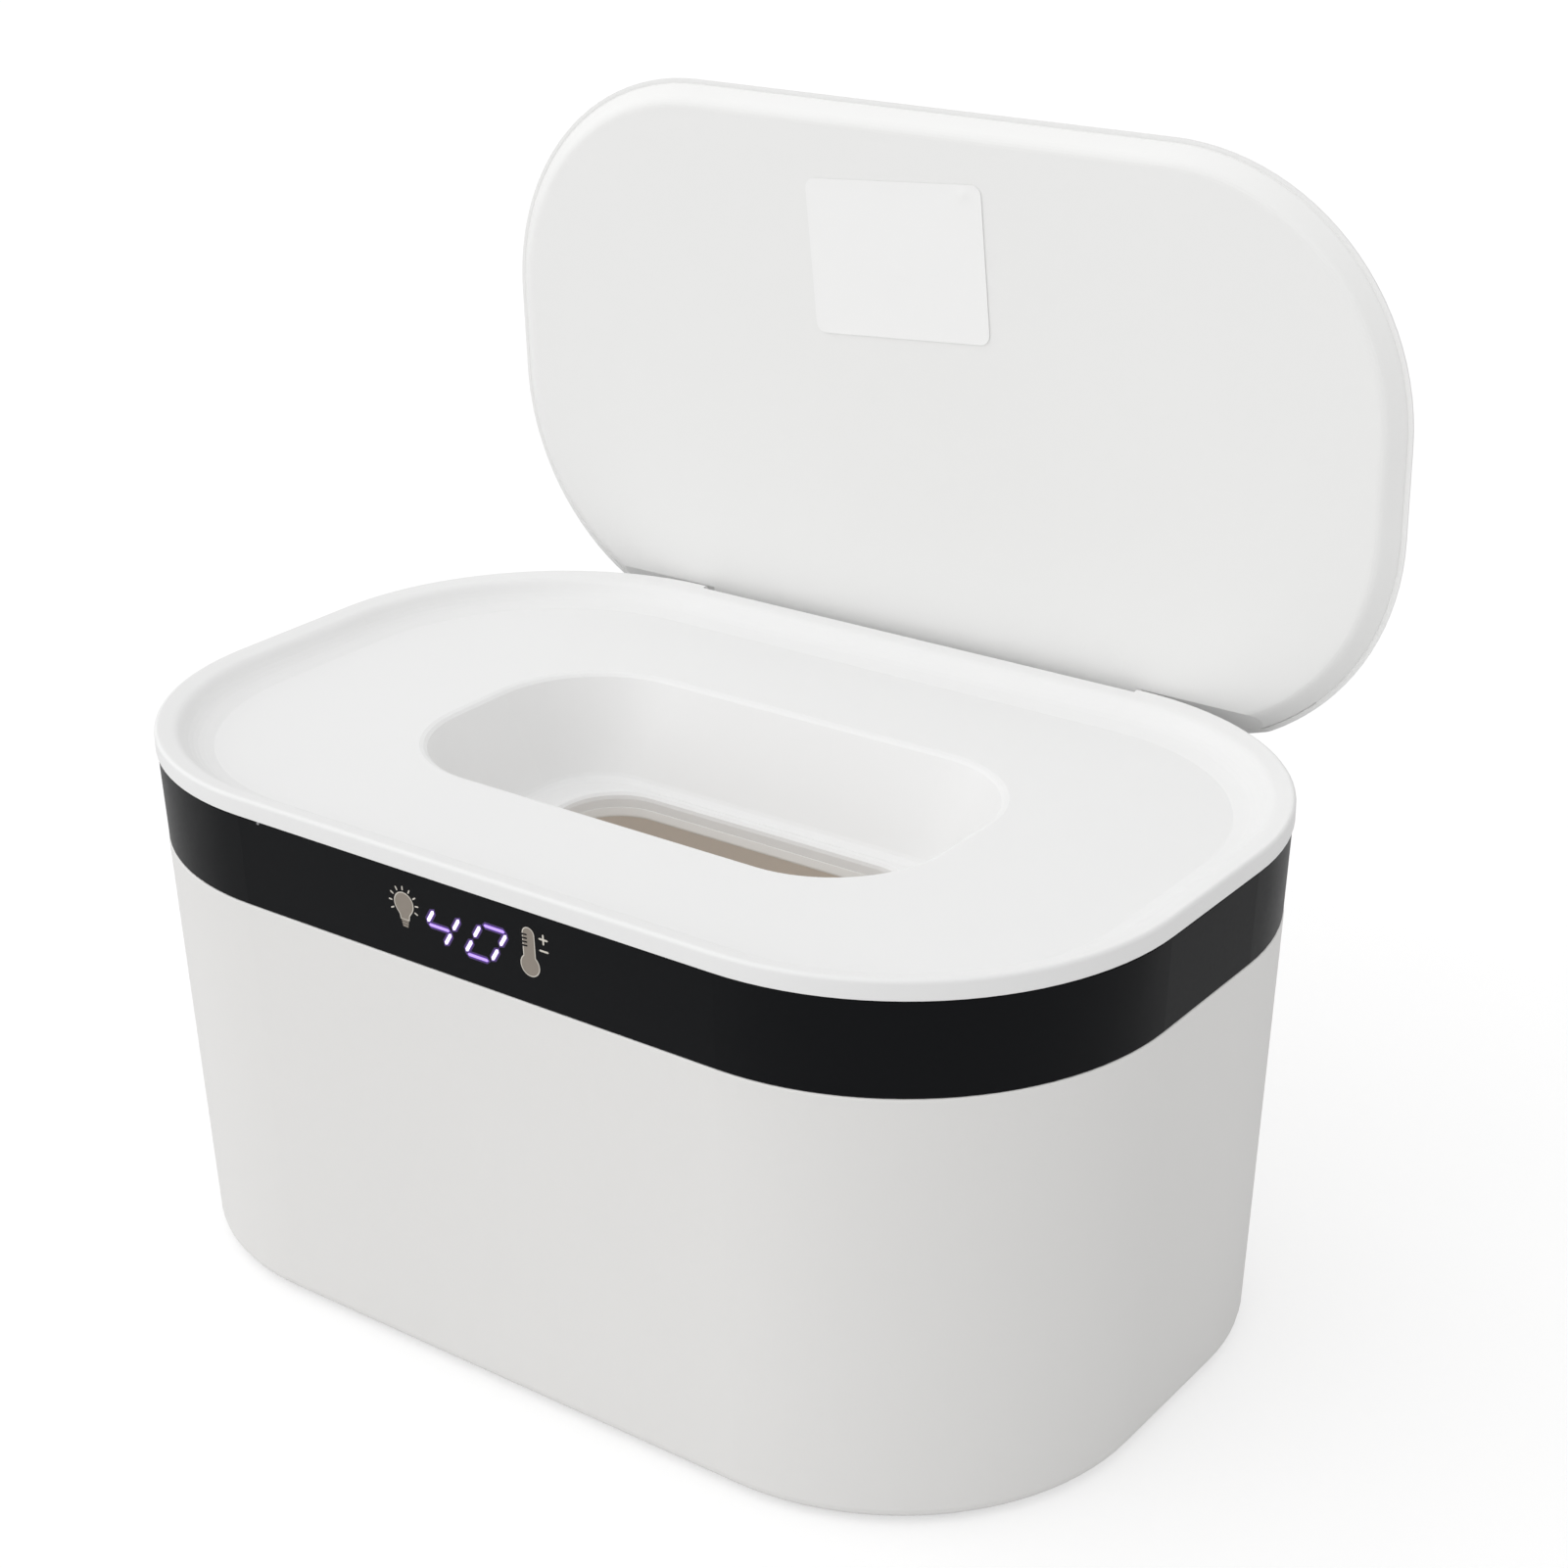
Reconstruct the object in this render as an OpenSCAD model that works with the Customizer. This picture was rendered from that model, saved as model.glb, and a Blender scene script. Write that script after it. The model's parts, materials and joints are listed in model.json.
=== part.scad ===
// Baby wipe warmer: a heated tank in a drafted casing, a lift-off dispensing
// top with a touch band round it, and a lid hinged at the rear.
// The origin is on the surface that the feet stand on, under the middle of the casing.
// The front, with the digits, faces -Y. The lid is drawn open, as it stands in use.

/* [Casing] */
// Length of the casing at the top of the dark band
casing_l = 221; // [217:0.5:225]
// Depth of the casing at the top of the dark band
casing_w = 142; // [139:0.5:146]
// Corner radius of the outline at the top of the dark band
corner_r = 55.4; // [54.6:0.1:56.2]
// Gain in outline radius for each millimetre of height
draft = 0.0375; // [0.03:0.0005:0.042]
// Height of the lower edge of the dark band
band_z = 88; // [87.2:0.1:89]
// Height of the dark band itself
band_h = 18.3; // [18:0.1:18.7]
// Thickness of the casing wall
wall_t = 2.6; // [2.2:0.1:2.8]
// Radius of the casing's bottom edge
base_edge_r = 2.4; // [1.5:0.1:2.5]
// Depth by which the band sits back from the casing's face
band_recess = 0.15; // [0.1:0.05:0.4]

/* [Base] */
// Height of the casing's bottom edge above the surface it stands on
foot_gap = 1; // [0.8:0.1:1.2]
// Thickness of the base cover
base_t = 2.4; // [2.2:0.1:2.8]
// Radius of a rubber foot
foot_r = 7; // [6:0.1:7.5]
// Depth of a foot's seat in the base cover
foot_seat = 1.2; // [0.9:0.1:1.3]
// Distance of a foot from the middle, along the length
foot_x = 68; // [62:0.5:70]
// Distance of a foot from the middle, across
foot_y = 36; // [32:0.5:38]

/* [Tank] */
// Height of the tank's inner floor
tank_floor_z = 26; // [25.6:0.1:27]
// Corner radius of the tank's inside at its floor
tank_r = 37.6; // [36.8:0.1:38]
// Gain in the tank's inside radius for each millimetre of height
tank_draft = 0.04; // [0.03:0.001:0.045]
// Thickness of the tank's wall
tank_t = 2; // [1.6:0.1:2.1]
// Thickness of the tank's flange and of the seal on it
flange_t = 2; // [1.8:0.1:2.1]
// Thickness of the foam sleeve round the tank
sleeve_t = 5; // [4:0.1:5.5]

/* [Dispensing top] */
// Height of the rim's outer edge above the dark band
rim_h = 4.2; // [4:0.1:4.4]
// Width of the rim's crown, from its outer edge to the dished border
crown_w = 4.4; // [4:0.1:4.8]
// Fall of the crown from its outer edge to the dished border
crown_fall = 0.9; // [0.8:0.05:1.1]
// Seam between the rim and the dark band
rim_seam = 0.2; // [0.15:0.05:0.4]
// Depth of the dished field below the rim's outer edge
dish_depth = 5.3; // [5.1:0.1:5.5]
// Width of the dished border from the casing's outline to the flat field
border_w = 11; // [10.6:0.1:11.4]
// Length of the well's mouth
well_l = 117; // [115:0.5:119]
// Width of the well's mouth
well_w = 62; // [61:0.5:64]
// Corner radius of the well's mouth
well_r = 23.8; // [23:0.1:24.4]
// Depth of the well's floor below the field
well_depth = 19.7; // [19:0.1:20.2]
// Inward run of the well's wall from mouth to floor
well_run = 11; // [10:0.1:11.5]
// Thickness of the dispensing top
top_t = 2.3; // [2:0.1:2.4]
// Length of the dispensing slot
slot_l = 80; // [77:0.5:81]
// Width of the dispensing slot
slot_w = 34.4; // [33:0.2:35]
// Corner radius of the dispensing slot
slot_r = 12; // [11.4:0.1:12.4]
// Thickness of the well's floor round the slot
slot_floor_t = 3.4; // [3:0.1:3.6]
// Thickness of the liner under the slot
liner_t = 2.1; // [1.8:0.1:2.4]

/* [Lid] */
// Length of the lid
lid_l = 214.4; // [213:0.1:215]
// Depth of the lid
lid_w = 121; // [119:0.5:122]
// Corner radius of the lid
lid_r = 51.3; // [50.5:0.1:52]
// Width of the sloped border round the lid's raised inner panel
lid_border = 4.3; // [4:0.1:4.8]
// Height by which the inner panel stands proud of the lid's edge
panel_h = 3; // [2.6:0.1:3.2]
// Angle at which the open lid rests on its stop
lid_open = 88.3; // [80:0.1:89]
// Thickness of the lid's outer cover
cover_t = 1.7; // [1.5:0.1:1.9]
// Height of the cover's shoulder above the lid's edge
cover_h = 6.6; // [6.2:0.1:7.5]
// Inward run of the cover's sloped side from the lid's edge to the shoulder
cover_run = 4.6; // [4.4:0.1:5]

/* [Hinge] */
// Distance of the hinge axis in from the casing's rear face
hinge_in = 5.7; // [5.5:0.05:5.9]
// Depth of the hinge axis below the rim's outer edge
hinge_down = 11; // [10.8:0.05:11.2]
// Length of the hinge notch in the rear rim
notch_l = 108.6; // [106:0.2:110]
// Depth of the hinge notch in the rear rim
notch_d = 1.4; // [1.2:0.05:1.6]
// Radius of a hinge pin
pin_r = 1.25; // [1:0.05:1.35]
// Radial running clearance of a hinge pin
pin_gap = 0.05; // [0.02:0.01:0.08]
// Radius of a hinge barrel
barrel_r = 2.9; // [2.5:0.1:3]
// Length of a hinge barrel
barrel_l = 14; // [10:0.5:16]

/* [Display] */
// Length of the opening behind the band for the digits and touch pads
window_l = 44; // [42:0.5:46]
// Radius of a touch pad
pad_r = 3.4; // [3:0.1:3.8]
// Distance of a touch pad from the middle of the band
pad_x = 15; // [14.8:0.1:16]

/* [Hidden] */
$fn = 48;
fit = 0.3;
foot_fit = 0.15;
foot_taper = 0.5;
foot_edge = 0.6;
cx = casing_l / 2 - corner_r;
cy = casing_w / 2 - corner_r;
band_top = band_z + band_h;

// Casing
function out_r(z) = corner_r - draft * (band_top - z);
function in_r(z) = out_r(z) - wall_t;
band_t = 1.65;
band_fit = 0.15;
upper_r = out_r(band_z) - band_recess - band_t - band_fit;
upper_t = 1.8;
upper_in_r = upper_r - upper_t;
upper_drop = 0.6;
upper_top = band_top - upper_drop;
lip_t = 1.4;
lip_w = 1.9;
lip_slope = 3.6;
cut_reach = casing_w / 2;
base_top = foot_gap + base_t;
rim_z = band_top + rim_h;
rim_out = 0.2;
rim_edge_r = 0.7;
dish_run = 4.1;
dish_rise = 1.3;
rim_r = corner_r + rim_out;

// Seating heights of the tank, its seal and the skirt of the dispensing top
skirt_z = band_z + rim_seam;
flange_top = skirt_z - flange_t;
flange_z = flange_top - flange_t;
flange_r = upper_in_r - 0.5;
skirt_r = upper_in_r - 4.8;
skirt_t = 1.8;
lip_r = flange_r - lip_w;
lip_low = flange_z - lip_t - lip_slope;

// Hinge axis and the bay that it lies in
axis_y = casing_w / 2 - hinge_in;
axis_z = rim_z - hinge_down;
bay_x = notch_l / 2;
cheek_t = 3.6;
bay_out_x = bay_x + cheek_t;
cheek_y = cy + upper_in_r + 0.8;
bay_wall = 1.8;
bay_swing = 4.5;
bay_y = axis_y - bay_swing;
bay_back = cy + out_r(skirt_z) - fit;
bay_floor_t = 2.4;
bay_step = 1.3;
bay_floor = skirt_z + bay_floor_t;
notch_y = casing_w / 2 - notch_d;

// Field, well and slot
field_z = rim_z - dish_depth;
field_r = corner_r - border_w;
under_z = field_z - top_t;
well_cx = well_l / 2 - well_r;
well_cy = well_w / 2 - well_r;
floor_z = field_z - well_depth;
floor_r = well_r - well_run;
slot_cx = slot_l / 2 - slot_r;
slot_cy = slot_w / 2 - slot_r;
floor_under = floor_z - slot_floor_t;

// Lid, drawn closed and then swung open about the hinge axis; its edge lies over the
// crown where that has fallen away, and its rear is cut back to roll over the rim
lid_cx = lid_l / 2 - lid_r;
lid_cy = lid_w / 2 - lid_r;
lid_rear_y = axis_y + 0.7;
lid_y = lid_rear_y - lid_w / 2;
edge_drop = 0.1;
edge_z = rim_z - edge_drop;
panel_z = edge_z - panel_h;
cover_rise = 1.6;
edge_lip = 0.4;
edge_t = 0.7;
seam = 0.15;
panel_top = edge_z + 2.2;
panel_t = 1.8;
roll_r = hinge_down + 0.9;
rim_roll_r = hinge_down + 1.6;
leaf_in = notch_y - axis_y + 0.6;
leaf_t = 2.2;
leaf_x = bay_x - 0.7;

// Base screws and their bosses
boss_r = 4;
boss_h = 13;
boss_sink = 0.8;
boss_reach = (in_r(base_top) - boss_r + boss_sink) * sqrt(0.5);
boss_x = cx + boss_reach;
boss_y = cy + boss_reach;
screw_r = 1.4;
screw_l = 9.5;
head_r = 2.8;
head_h = 1.3;
head_gap = 0.3;
thread_gap = 0.05;

// Heater stack under the tank's floor
tank_under = tank_floor_z - tank_t;
tank_edge_r = 4;
sleeve_low = 8;
sleeve_high = 6;
plate_t = 1.2;
mat_t = 1;
pad_t = 4;
clamp_t = 1.2;
plate_z = tank_under - plate_t;
mat_z = plate_z - mat_t;
pad_z = mat_z - pad_t;
clamp_z = pad_z - clamp_t;
plate_r = 27;
mat_r = 25;
foam_r = 29;
window_x = 24;
pad_window = [28, 12];
pigtail_r = 0.45;
fuse_r = 1.9;
fuse_half = 5.5;
fuse_lead = 6;
sensor_r = 1.4;
sensor_half = 2.4;
sensor_lead = 4;
clamp_bar = 9;
clamp_cross = 52;
clamp_screw_r = 1.1;
clamp_screw_l = 5.2;
clamp_head_r = 2.5;
post_in = 24;
post_x = cx + post_in;
post_y = cy + post_in;
post_r = 3.2;

// Main board on posts of the base cover
board_l = 74;
board_w = 44;
board_t = 1.6;
board_h = 5.4;
board_post_r = 3;
board_z = base_top + board_h;
board_top = board_z + board_t;
board_x = 10;
board_inset = 4;
board_hole_x = board_l / 2 - board_inset;
board_hole_y = board_w / 2 - board_inset;
fine_r = 1;
fine_head_r = 2.2;
fine_head_h = 1.2;
fine_l = 5;

// Terminals for the heater's leads and the plug of the display's cable
terminal_x = -30;
terminal_y = 4;
terminal_l = 5;
lead_r = 0.8;
lead_rise = 2.2;
lead_x = -window_x - pad_window.x / 2 + 2;
plug_x = 0;
plug_y = -14;
plug_l = 12;
plug_w = 5;
plug_h = 3.6;

// Places and sizes of the other parts on the main board
chip_at = [-12, 0];
chip_size = [10, 7, 1.6];
coil_at = [14, 12];
coil_size = [9, 6, 3];
relay_at = [30, 0];
relay_size = [5, 10, 4.4];
can_at = [9, -2];
can_r = 3.1;
can_h = 4.6;

// Power socket low in the rear wall
socket_x = 38;
socket_r = 3.1;
pin_recess = 5;
socket_z = 14;
socket_face = cy + out_r(socket_z) - 0.2;
socket_l = 13.4;
socket_h = 11;
socket_w = 9.6;
socket_body_r = 3.9;
contact_r = 1;
contact_in = 2.5;
rest_l = 12;
rest_w = 9;
socket_back = cy + in_r(socket_z) - socket_l;

// Display board behind the front of the band
wall_front = cy + upper_r;
wall_back = cy + upper_in_r;
display_gap = 1.8;
display_front = wall_back - display_gap;
display_t = 1.6;
display_l = 56;
display_rise = 1.4;
display_z = band_z + display_rise;
display_h = 12.6;
mark_rise = 10.2;
mark_z = band_z + mark_rise;
window_h = 11.2;
stud_r = 2.2;
stud_inset = 3.4;
display_screw_x = display_l / 2 - stud_inset;
display_head_r = 1.8;
display_head_h = 1;
digit_l = 22;
digit_h = 10;
digit_pitch = 9.2;
segment_h = 6.2;
segment_w = 4;
segment_s = 0.75;
segment_t = 0.3;
slant = 0.2;
led_x = 20.2;
led_drop = 3;
led_size = [2, 0.9, 2.8];
cable_x = -40;
cable_r = 0.9;
cable_notch = 5;

// Shapes shared by the sub-parts

function unit(v) = v / norm(v);

// Points of one corner of an outline, rounded by an arc where r is above nought
function corner_arc(before, at, after, r, n) =
    r <= 0 ? [at] :
    let (u = unit(before - at), v = unit(after - at), half = acos(u * v) / 2)
    let (c = at + unit(u + v) * r / sin(half))
    let (p = at + u * r / tan(half) - c, q = at + v * r / tan(half) - c)
    let (a = atan2(p.y, p.x), turn = (atan2(q.y, q.x) - a + 540) % 360 - 180)
    [for (i = [0:n]) c + r * [cos(a + turn * i / n), sin(a + turn * i / n)]];

// Outline from [radius, height, rounding] triplets, with n steps in each rounded corner
function rounded(p, n = 4) =
    [for (i = [0:len(p) - 1])
        let (b = p[(i + len(p) - 1) % len(p)], c = p[i], a = p[(i + 1) % len(p)])
        each corner_arc([b.x, b.y], [c.x, c.y], [a.x, a.y], c[2], n)];

// One straight side of a swept outline
module swept_side(reach, half, pts) {
    translate([reach, half, 0])
        rotate([90, 0, 0])
            linear_extrude(2 * half)
                polygon(pts);
}

// A profile carried round a rounded rectangle whose corner centres lie at a and b
module swept(a, b, pts) {
    for (q = [0:3])
        translate([(q == 0 || q == 3) ? a : -a, q < 2 ? b : -b, 0])
            rotate([0, 0, 90 * q])
                rotate_extrude(angle = 90)
                    polygon(pts);
    for (q = [0, 2]) {
        rotate([0, 0, 90 * q])
            swept_side(a, b, pts);
        rotate([0, 0, 90 * q + 90])
            swept_side(b, a, pts);
    }
}

// The same with its middle filled from z0 to z1
module swept_solid(a, b, pts, z0, z1) {
    swept(a, b, pts);
    translate([-a, -b, z0])
        cube([2 * a, 2 * b, z1 - z0]);
}

// A flat slab with a rounded rectangle's outline
module slab(a, b, r, z0, z1) {
    swept_solid(a, b, [[0, z0], [r, z0], [r, z1], [0, z1]], z0, z1);
}

// A copy at each of the four places at plus and minus x and y
module four_places(x, y) {
    for (sx = [-1, 1], sy = [-1, 1])
        translate([sx * x, sy * y, 0])
            children();
}

// A cylinder along X, centred on the hinge axis
module axis_rod(r, x0, x1) {
    translate([x0, axis_y, axis_z])
        rotate([0, 90, 0])
            cylinder(r = r, h = x1 - x0);
}

// Swings what is drawn closed to the open rest place
module opened() {
    translate([0, axis_y, axis_z])
        rotate([-lid_open, 0, 0])
            translate([0, -axis_y, -axis_z])
                children();
}

// A screw standing head down at the origin, with a cross recess
module screw(head_r, head_h, shank_r, shank_l) {
    difference() {
        union() {
            rotate_extrude()
                polygon(rounded([[0, 0, 0], [head_r, 0, 0.5], [head_r, head_h, 0], [0, head_h, 0]], 3));
            translate([0, 0, head_h])
                cylinder(r = shank_r, h = shank_l);
        }
        for (a = [0, 90])
            rotate([0, 0, a])
                translate([-head_r * 0.55, -0.35, -0.1])
                    cube([head_r * 1.1, 0.7, head_h * 0.6]);
    }
}

// A straight run of wire between two points, with round ends
module wire_run(p, q, r) {
    d = q - p;
    translate(p)
        rotate([0, acos(d.z / norm(d)), atan2(d.y, d.x)])
            cylinder(r = r, h = norm(d), $fn = 16);
}

// Casing

module casing_shell() {
    wall = rounded([
        [in_r(foot_gap), foot_gap, 0],
        [out_r(foot_gap), foot_gap, base_edge_r],
        [out_r(band_z), band_z, 0.4],
        [upper_r, band_z, 0],
        [upper_r, upper_top, 0.3],
        [upper_in_r, upper_top, 0.3],
        [upper_in_r, flange_z, 0],
        [lip_r, flange_z, 0],
        [lip_r, flange_z - lip_t, 0],
        [in_r(lip_low), lip_low, 0]
    ]);
    color("white")
    difference() {
        union() {
            swept(cx, cy, wall);
            four_places(boss_x, boss_y)
                translate([0, 0, base_top])
                    cylinder(r = boss_r, h = boss_h);
            for (s = [-1, 1])
                translate([s * display_screw_x, -wall_back - upper_t / 4, mark_z])
                    rotate([-90, 0, 0])
                        cylinder(r = stud_r, h = upper_t / 4 + display_gap);
        }
        four_places(boss_x, boss_y)
            translate([0, 0, base_top - 1])
                cylinder(r = screw_r + thread_gap, h = boss_h - 1);
        for (s = [-1, 1])
            translate([s * display_screw_x, -wall_back - upper_t / 2, mark_z])
                rotate([-90, 0, 0])
                    cylinder(r = fine_r + thread_gap, h = upper_t + display_gap + 1);
        hinge_cut(band_z + rim_seam / 2);
        translate([-window_l / 2, -wall_front - 1, mark_z - window_h / 2])
            cube([window_l, upper_t + 2, window_h]);
        translate([cable_x - cable_notch / 2, -cy - flange_r - 1, lip_low - 2])
            cube([cable_notch, cable_notch, flange_z - lip_low + 3]);
        translate([socket_x, socket_face - 2 * wall_t, socket_z])
            rotate([-90, 0, 0])
                cylinder(r = socket_body_r + fit, h = 4 * wall_t);
    }
}

// The opening in the rear of the casing and band for the hinge bay
module hinge_cut(z) {
    translate([-bay_out_x - fit, bay_y - bay_wall - 2 * fit, z])
        cube([2 * (bay_out_x + fit), cut_reach, 2 * band_h]);
}

module dark_band() {
    face = rounded([
        [upper_r + band_fit, band_z, 0],
        [out_r(band_z) - band_recess, band_z, 0.3],
        [out_r(band_top) - band_recess, band_top, 0.3],
        [upper_r + band_fit, band_top, 0]
    ]);
    color([0.11, 0.115, 0.12])
    difference() {
        swept(cx, cy, face);
        hinge_cut(band_z - 1);
    }
}

module base_cover() {
    color("white")
    difference() {
        union() {
            slab(cx, cy, in_r(foot_gap) - fit, foot_gap, base_top);
            translate([board_x, 0, 0])
                four_places(board_hole_x, board_hole_y)
                    translate([0, 0, base_top - base_t / 4])
                        cylinder(r = board_post_r, h = board_h + base_t / 4);
            translate([socket_x - rest_l / 2, socket_back + 1, base_top - base_t / 4])
                cube([rest_l, rest_w, socket_z - socket_h / 2 - base_top + base_t / 4]);
        }
        four_places(boss_x, boss_y) {
            translate([0, 0, foot_gap - 1])
                cylinder(r = screw_r + head_gap, h = base_t + 2);
            translate([0, 0, foot_gap - 1])
                cylinder(r = head_r + head_gap, h = head_h + 1);
        }
        four_places(foot_x, foot_y)
            translate([0, 0, foot_gap - 1])
                cylinder(r = foot_r + foot_fit, h = foot_seat + 1);
        translate([board_x, 0, 0])
            four_places(board_hole_x, board_hole_y)
                translate([0, 0, base_top + 1])
                    cylinder(r = fine_r + thread_gap, h = board_h);
    }
}

module rubber_feet() {
    color([0.2, 0.2, 0.2])
    four_places(foot_x, foot_y)
        rotate_extrude()
            polygon(rounded([[0, 0, 0], [foot_r - foot_taper, 0, foot_edge],
                             [foot_r, foot_gap + foot_seat, 0], [0, foot_gap + foot_seat, 0]]));
}

module base_screws() {
    color("silver")
    four_places(boss_x, boss_y)
        translate([0, 0, foot_gap])
            screw(head_r, head_h, screw_r, screw_l);
}

// Tank and heater

function tank_in(z) = tank_r + tank_draft * (z - tank_floor_z);

module tank() {
    section = rounded([
        [0, tank_under, 0],
        [tank_in(tank_under) + tank_t, tank_under, tank_edge_r + 1.5],
        [tank_in(flange_z) + tank_t, flange_z, 0],
        [flange_r, flange_z, 0],
        [flange_r, flange_top, 0.4],
        [tank_in(flange_top), flange_top, 0.8],
        [tank_in(tank_floor_z), tank_floor_z, tank_edge_r],
        [0, tank_floor_z, 0]
    ], 5);
    color([0.87, 0.85, 0.81])
    difference() {
        union() {
            swept_solid(cx, cy, section, tank_under, tank_floor_z);
            four_places(post_x, post_y)
                translate([0, 0, pad_z])
                    cylinder(r = post_r, h = tank_under - pad_z + tank_t / 3);
        }
        four_places(post_x, post_y)
            translate([0, 0, pad_z - 1])
                cylinder(r = clamp_screw_r + thread_gap, h = clamp_screw_l - clamp_t + 2);
        translate([cable_x - cable_notch / 2, -cy - flange_r - 1, flange_z - 1])
            cube([cable_notch, cable_notch, flange_t + 2]);
    }
}

module insulation_sleeve() {
    low = tank_under + sleeve_low;
    high = flange_z - sleeve_high;
    color([0.55, 0.56, 0.58])
    swept(cx, cy, [
        [tank_in(low) + tank_t, low],
        [tank_in(low) + tank_t + sleeve_t, low],
        [tank_in(high) + tank_t + sleeve_t, high],
        [tank_in(high) + tank_t, high]
    ]);
}

module heater_plate() {
    color([0.75, 0.76, 0.78])
    slab(cx, cy, plate_r, plate_z, tank_under);
}

module heater_mat() {
    color([0.78, 0.36, 0.2])
    slab(cx, cy, mat_r, mat_z, plate_z);
}

module floor_insulation() {
    color([0.55, 0.56, 0.58])
    difference() {
        slab(cx, cy, foam_r, pad_z, mat_z);
        for (s = [-1, 1])
            translate([s * window_x - pad_window.x / 2, -pad_window.y / 2, pad_z - 1])
                cube([pad_window.x, pad_window.y, pad_t + 2]);
    }
}

module heater_clamp() {
    color([0.7, 0.71, 0.72])
    difference() {
        union() {
            for (s = [-1, 1]) {
                translate([-post_x - clamp_bar / 2, s * post_y - clamp_bar / 2, clamp_z])
                    cube([2 * post_x + clamp_bar, clamp_bar, clamp_t]);
                translate([s * clamp_cross - clamp_bar / 2, -post_y, clamp_z])
                    cube([clamp_bar, 2 * post_y, clamp_t]);
            }
        }
        four_places(post_x, post_y)
            translate([0, 0, clamp_z - 1])
                cylinder(r = clamp_screw_r + head_gap, h = clamp_t + 2);
    }
}

module clamp_screws() {
    color("silver")
    four_places(post_x, post_y)
        translate([0, 0, clamp_z - head_h])
            screw(clamp_head_r, head_h, clamp_screw_r, clamp_screw_l);
}

// A can on its side against the heater mat, with a lead at each end
module capsule(x, r, half, lead) {
    translate([x - half, 0, mat_z - r])
        rotate([0, 90, 0])
            cylinder(r = r, h = 2 * half);
    translate([x - half - lead, 0, mat_z - r])
        rotate([0, 90, 0])
            cylinder(r = pigtail_r, h = 2 * (half + lead), $fn = 16);
}

module thermal_fuse() {
    color([0.82, 0.8, 0.72])
    capsule(-window_x, fuse_r, fuse_half, fuse_lead);
}

module temperature_sensor() {
    color([0.25, 0.25, 0.27])
    capsule(window_x, sensor_r, sensor_half, sensor_lead);
}

// Electronics

module main_board() {
    color([0.1, 0.35, 0.2])
    translate([board_x, 0, 0])
        difference() {
            translate([-board_l / 2, -board_w / 2, board_z])
                cube([board_l, board_w, board_t]);
            four_places(board_hole_x, board_hole_y)
                translate([0, 0, board_z - 1])
                    cylinder(r = fine_r + head_gap, h = board_t + 2);
        }
}

// A block part on the main board at a place from the board's middle
module board_block(at, size) {
    translate([board_x + at.x - size.x / 2, at.y - size.y / 2, board_top])
        cube(size);
}

module board_components() {
    color([0.16, 0.16, 0.18]) {
        board_block(chip_at, chip_size);
        board_block(coil_at, coil_size);
        board_block(relay_at, relay_size);
        for (s = [-1, 1])
            board_block([terminal_x, s * terminal_y], [terminal_l, plug_w, plug_h]);
        board_block([plug_x, plug_y], [plug_l, plug_w, plug_h]);
    }
    color([0.25, 0.3, 0.4])
    for (s = [-1, 1])
        translate([board_x + can_at.x + s * (can_r + 1), can_at.y, board_top])
            cylinder(r = can_r, h = can_h);
}

module board_screws() {
    color("silver")
    translate([board_x, 0, 0])
        four_places(board_hole_x, board_hole_y)
            translate([0, 0, board_top + fine_head_h])
                rotate([180, 0, 0])
                    screw(fine_head_r, fine_head_h, fine_r, fine_l);
}

module power_socket() {
    reach = socket_face - socket_back;
    color([0.12, 0.12, 0.13])
    difference() {
        union() {
            translate([socket_x - socket_w / 2, socket_back, socket_z - socket_h / 2])
                cube([socket_w, cy + in_r(socket_z - socket_h / 2) - fit - socket_back, socket_h]);
            translate([socket_x, socket_back, socket_z])
                rotate([-90, 0, 0])
                    cylinder(r = socket_body_r, h = reach);
        }
        translate([socket_x, socket_back + contact_in + 0.5, socket_z])
            rotate([-90, 0, 0])
                cylinder(r = socket_r, h = reach);
    }
    color([0.8, 0.78, 0.7])
    translate([socket_x, socket_back + contact_in, socket_z])
        rotate([-90, 0, 0])
            cylinder(r = contact_r, h = reach - contact_in - pin_recess);
}

// Wire joints along a chosen route, as runs between neighbouring points
module wire(route, r) {
    for (i = [0:len(route) - 2])
        wire_run(route[i], route[i + 1], r);
    for (i = [1:len(route) - 2])
        translate(route[i])
            sphere(r = r * 1.15, $fn = 16);
}

module heater_leads() {
    color([0.75, 0.15, 0.12])
    for (s = [-1, 1])
        wire([[lead_x, s * terminal_y, mat_z - 0.1],
              [lead_x, s * terminal_y, board_top + lead_rise],
              [board_x + terminal_x - terminal_l / 2 - 0.1, s * terminal_y, board_top + lead_rise]],
             lead_r);
}

module display_cable() {
    front = display_t / 2 - display_front;
    low = board_top + plug_h / 2;
    high = display_z + display_h / 2;
    color([0.85, 0.85, 0.83])
    wire([[board_x + plug_x - plug_l / 2 - 0.1, plug_y, low], [cable_x, plug_y, low],
          [cable_x, front, low], [cable_x, front, high], [-display_l / 2 - 0.1, front, high]], cable_r);
}

module display_board() {
    color([0.1, 0.35, 0.2])
    difference() {
        translate([-display_l / 2, -display_front, display_z])
            cube([display_l, display_t, display_h]);
        for (s = [-1, 1])
            translate([s * display_screw_x, -display_front - 1, mark_z])
                rotate([-90, 0, 0])
                    cylinder(r = fine_r + head_gap / 2, h = display_t + 2);
    }
}

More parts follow.
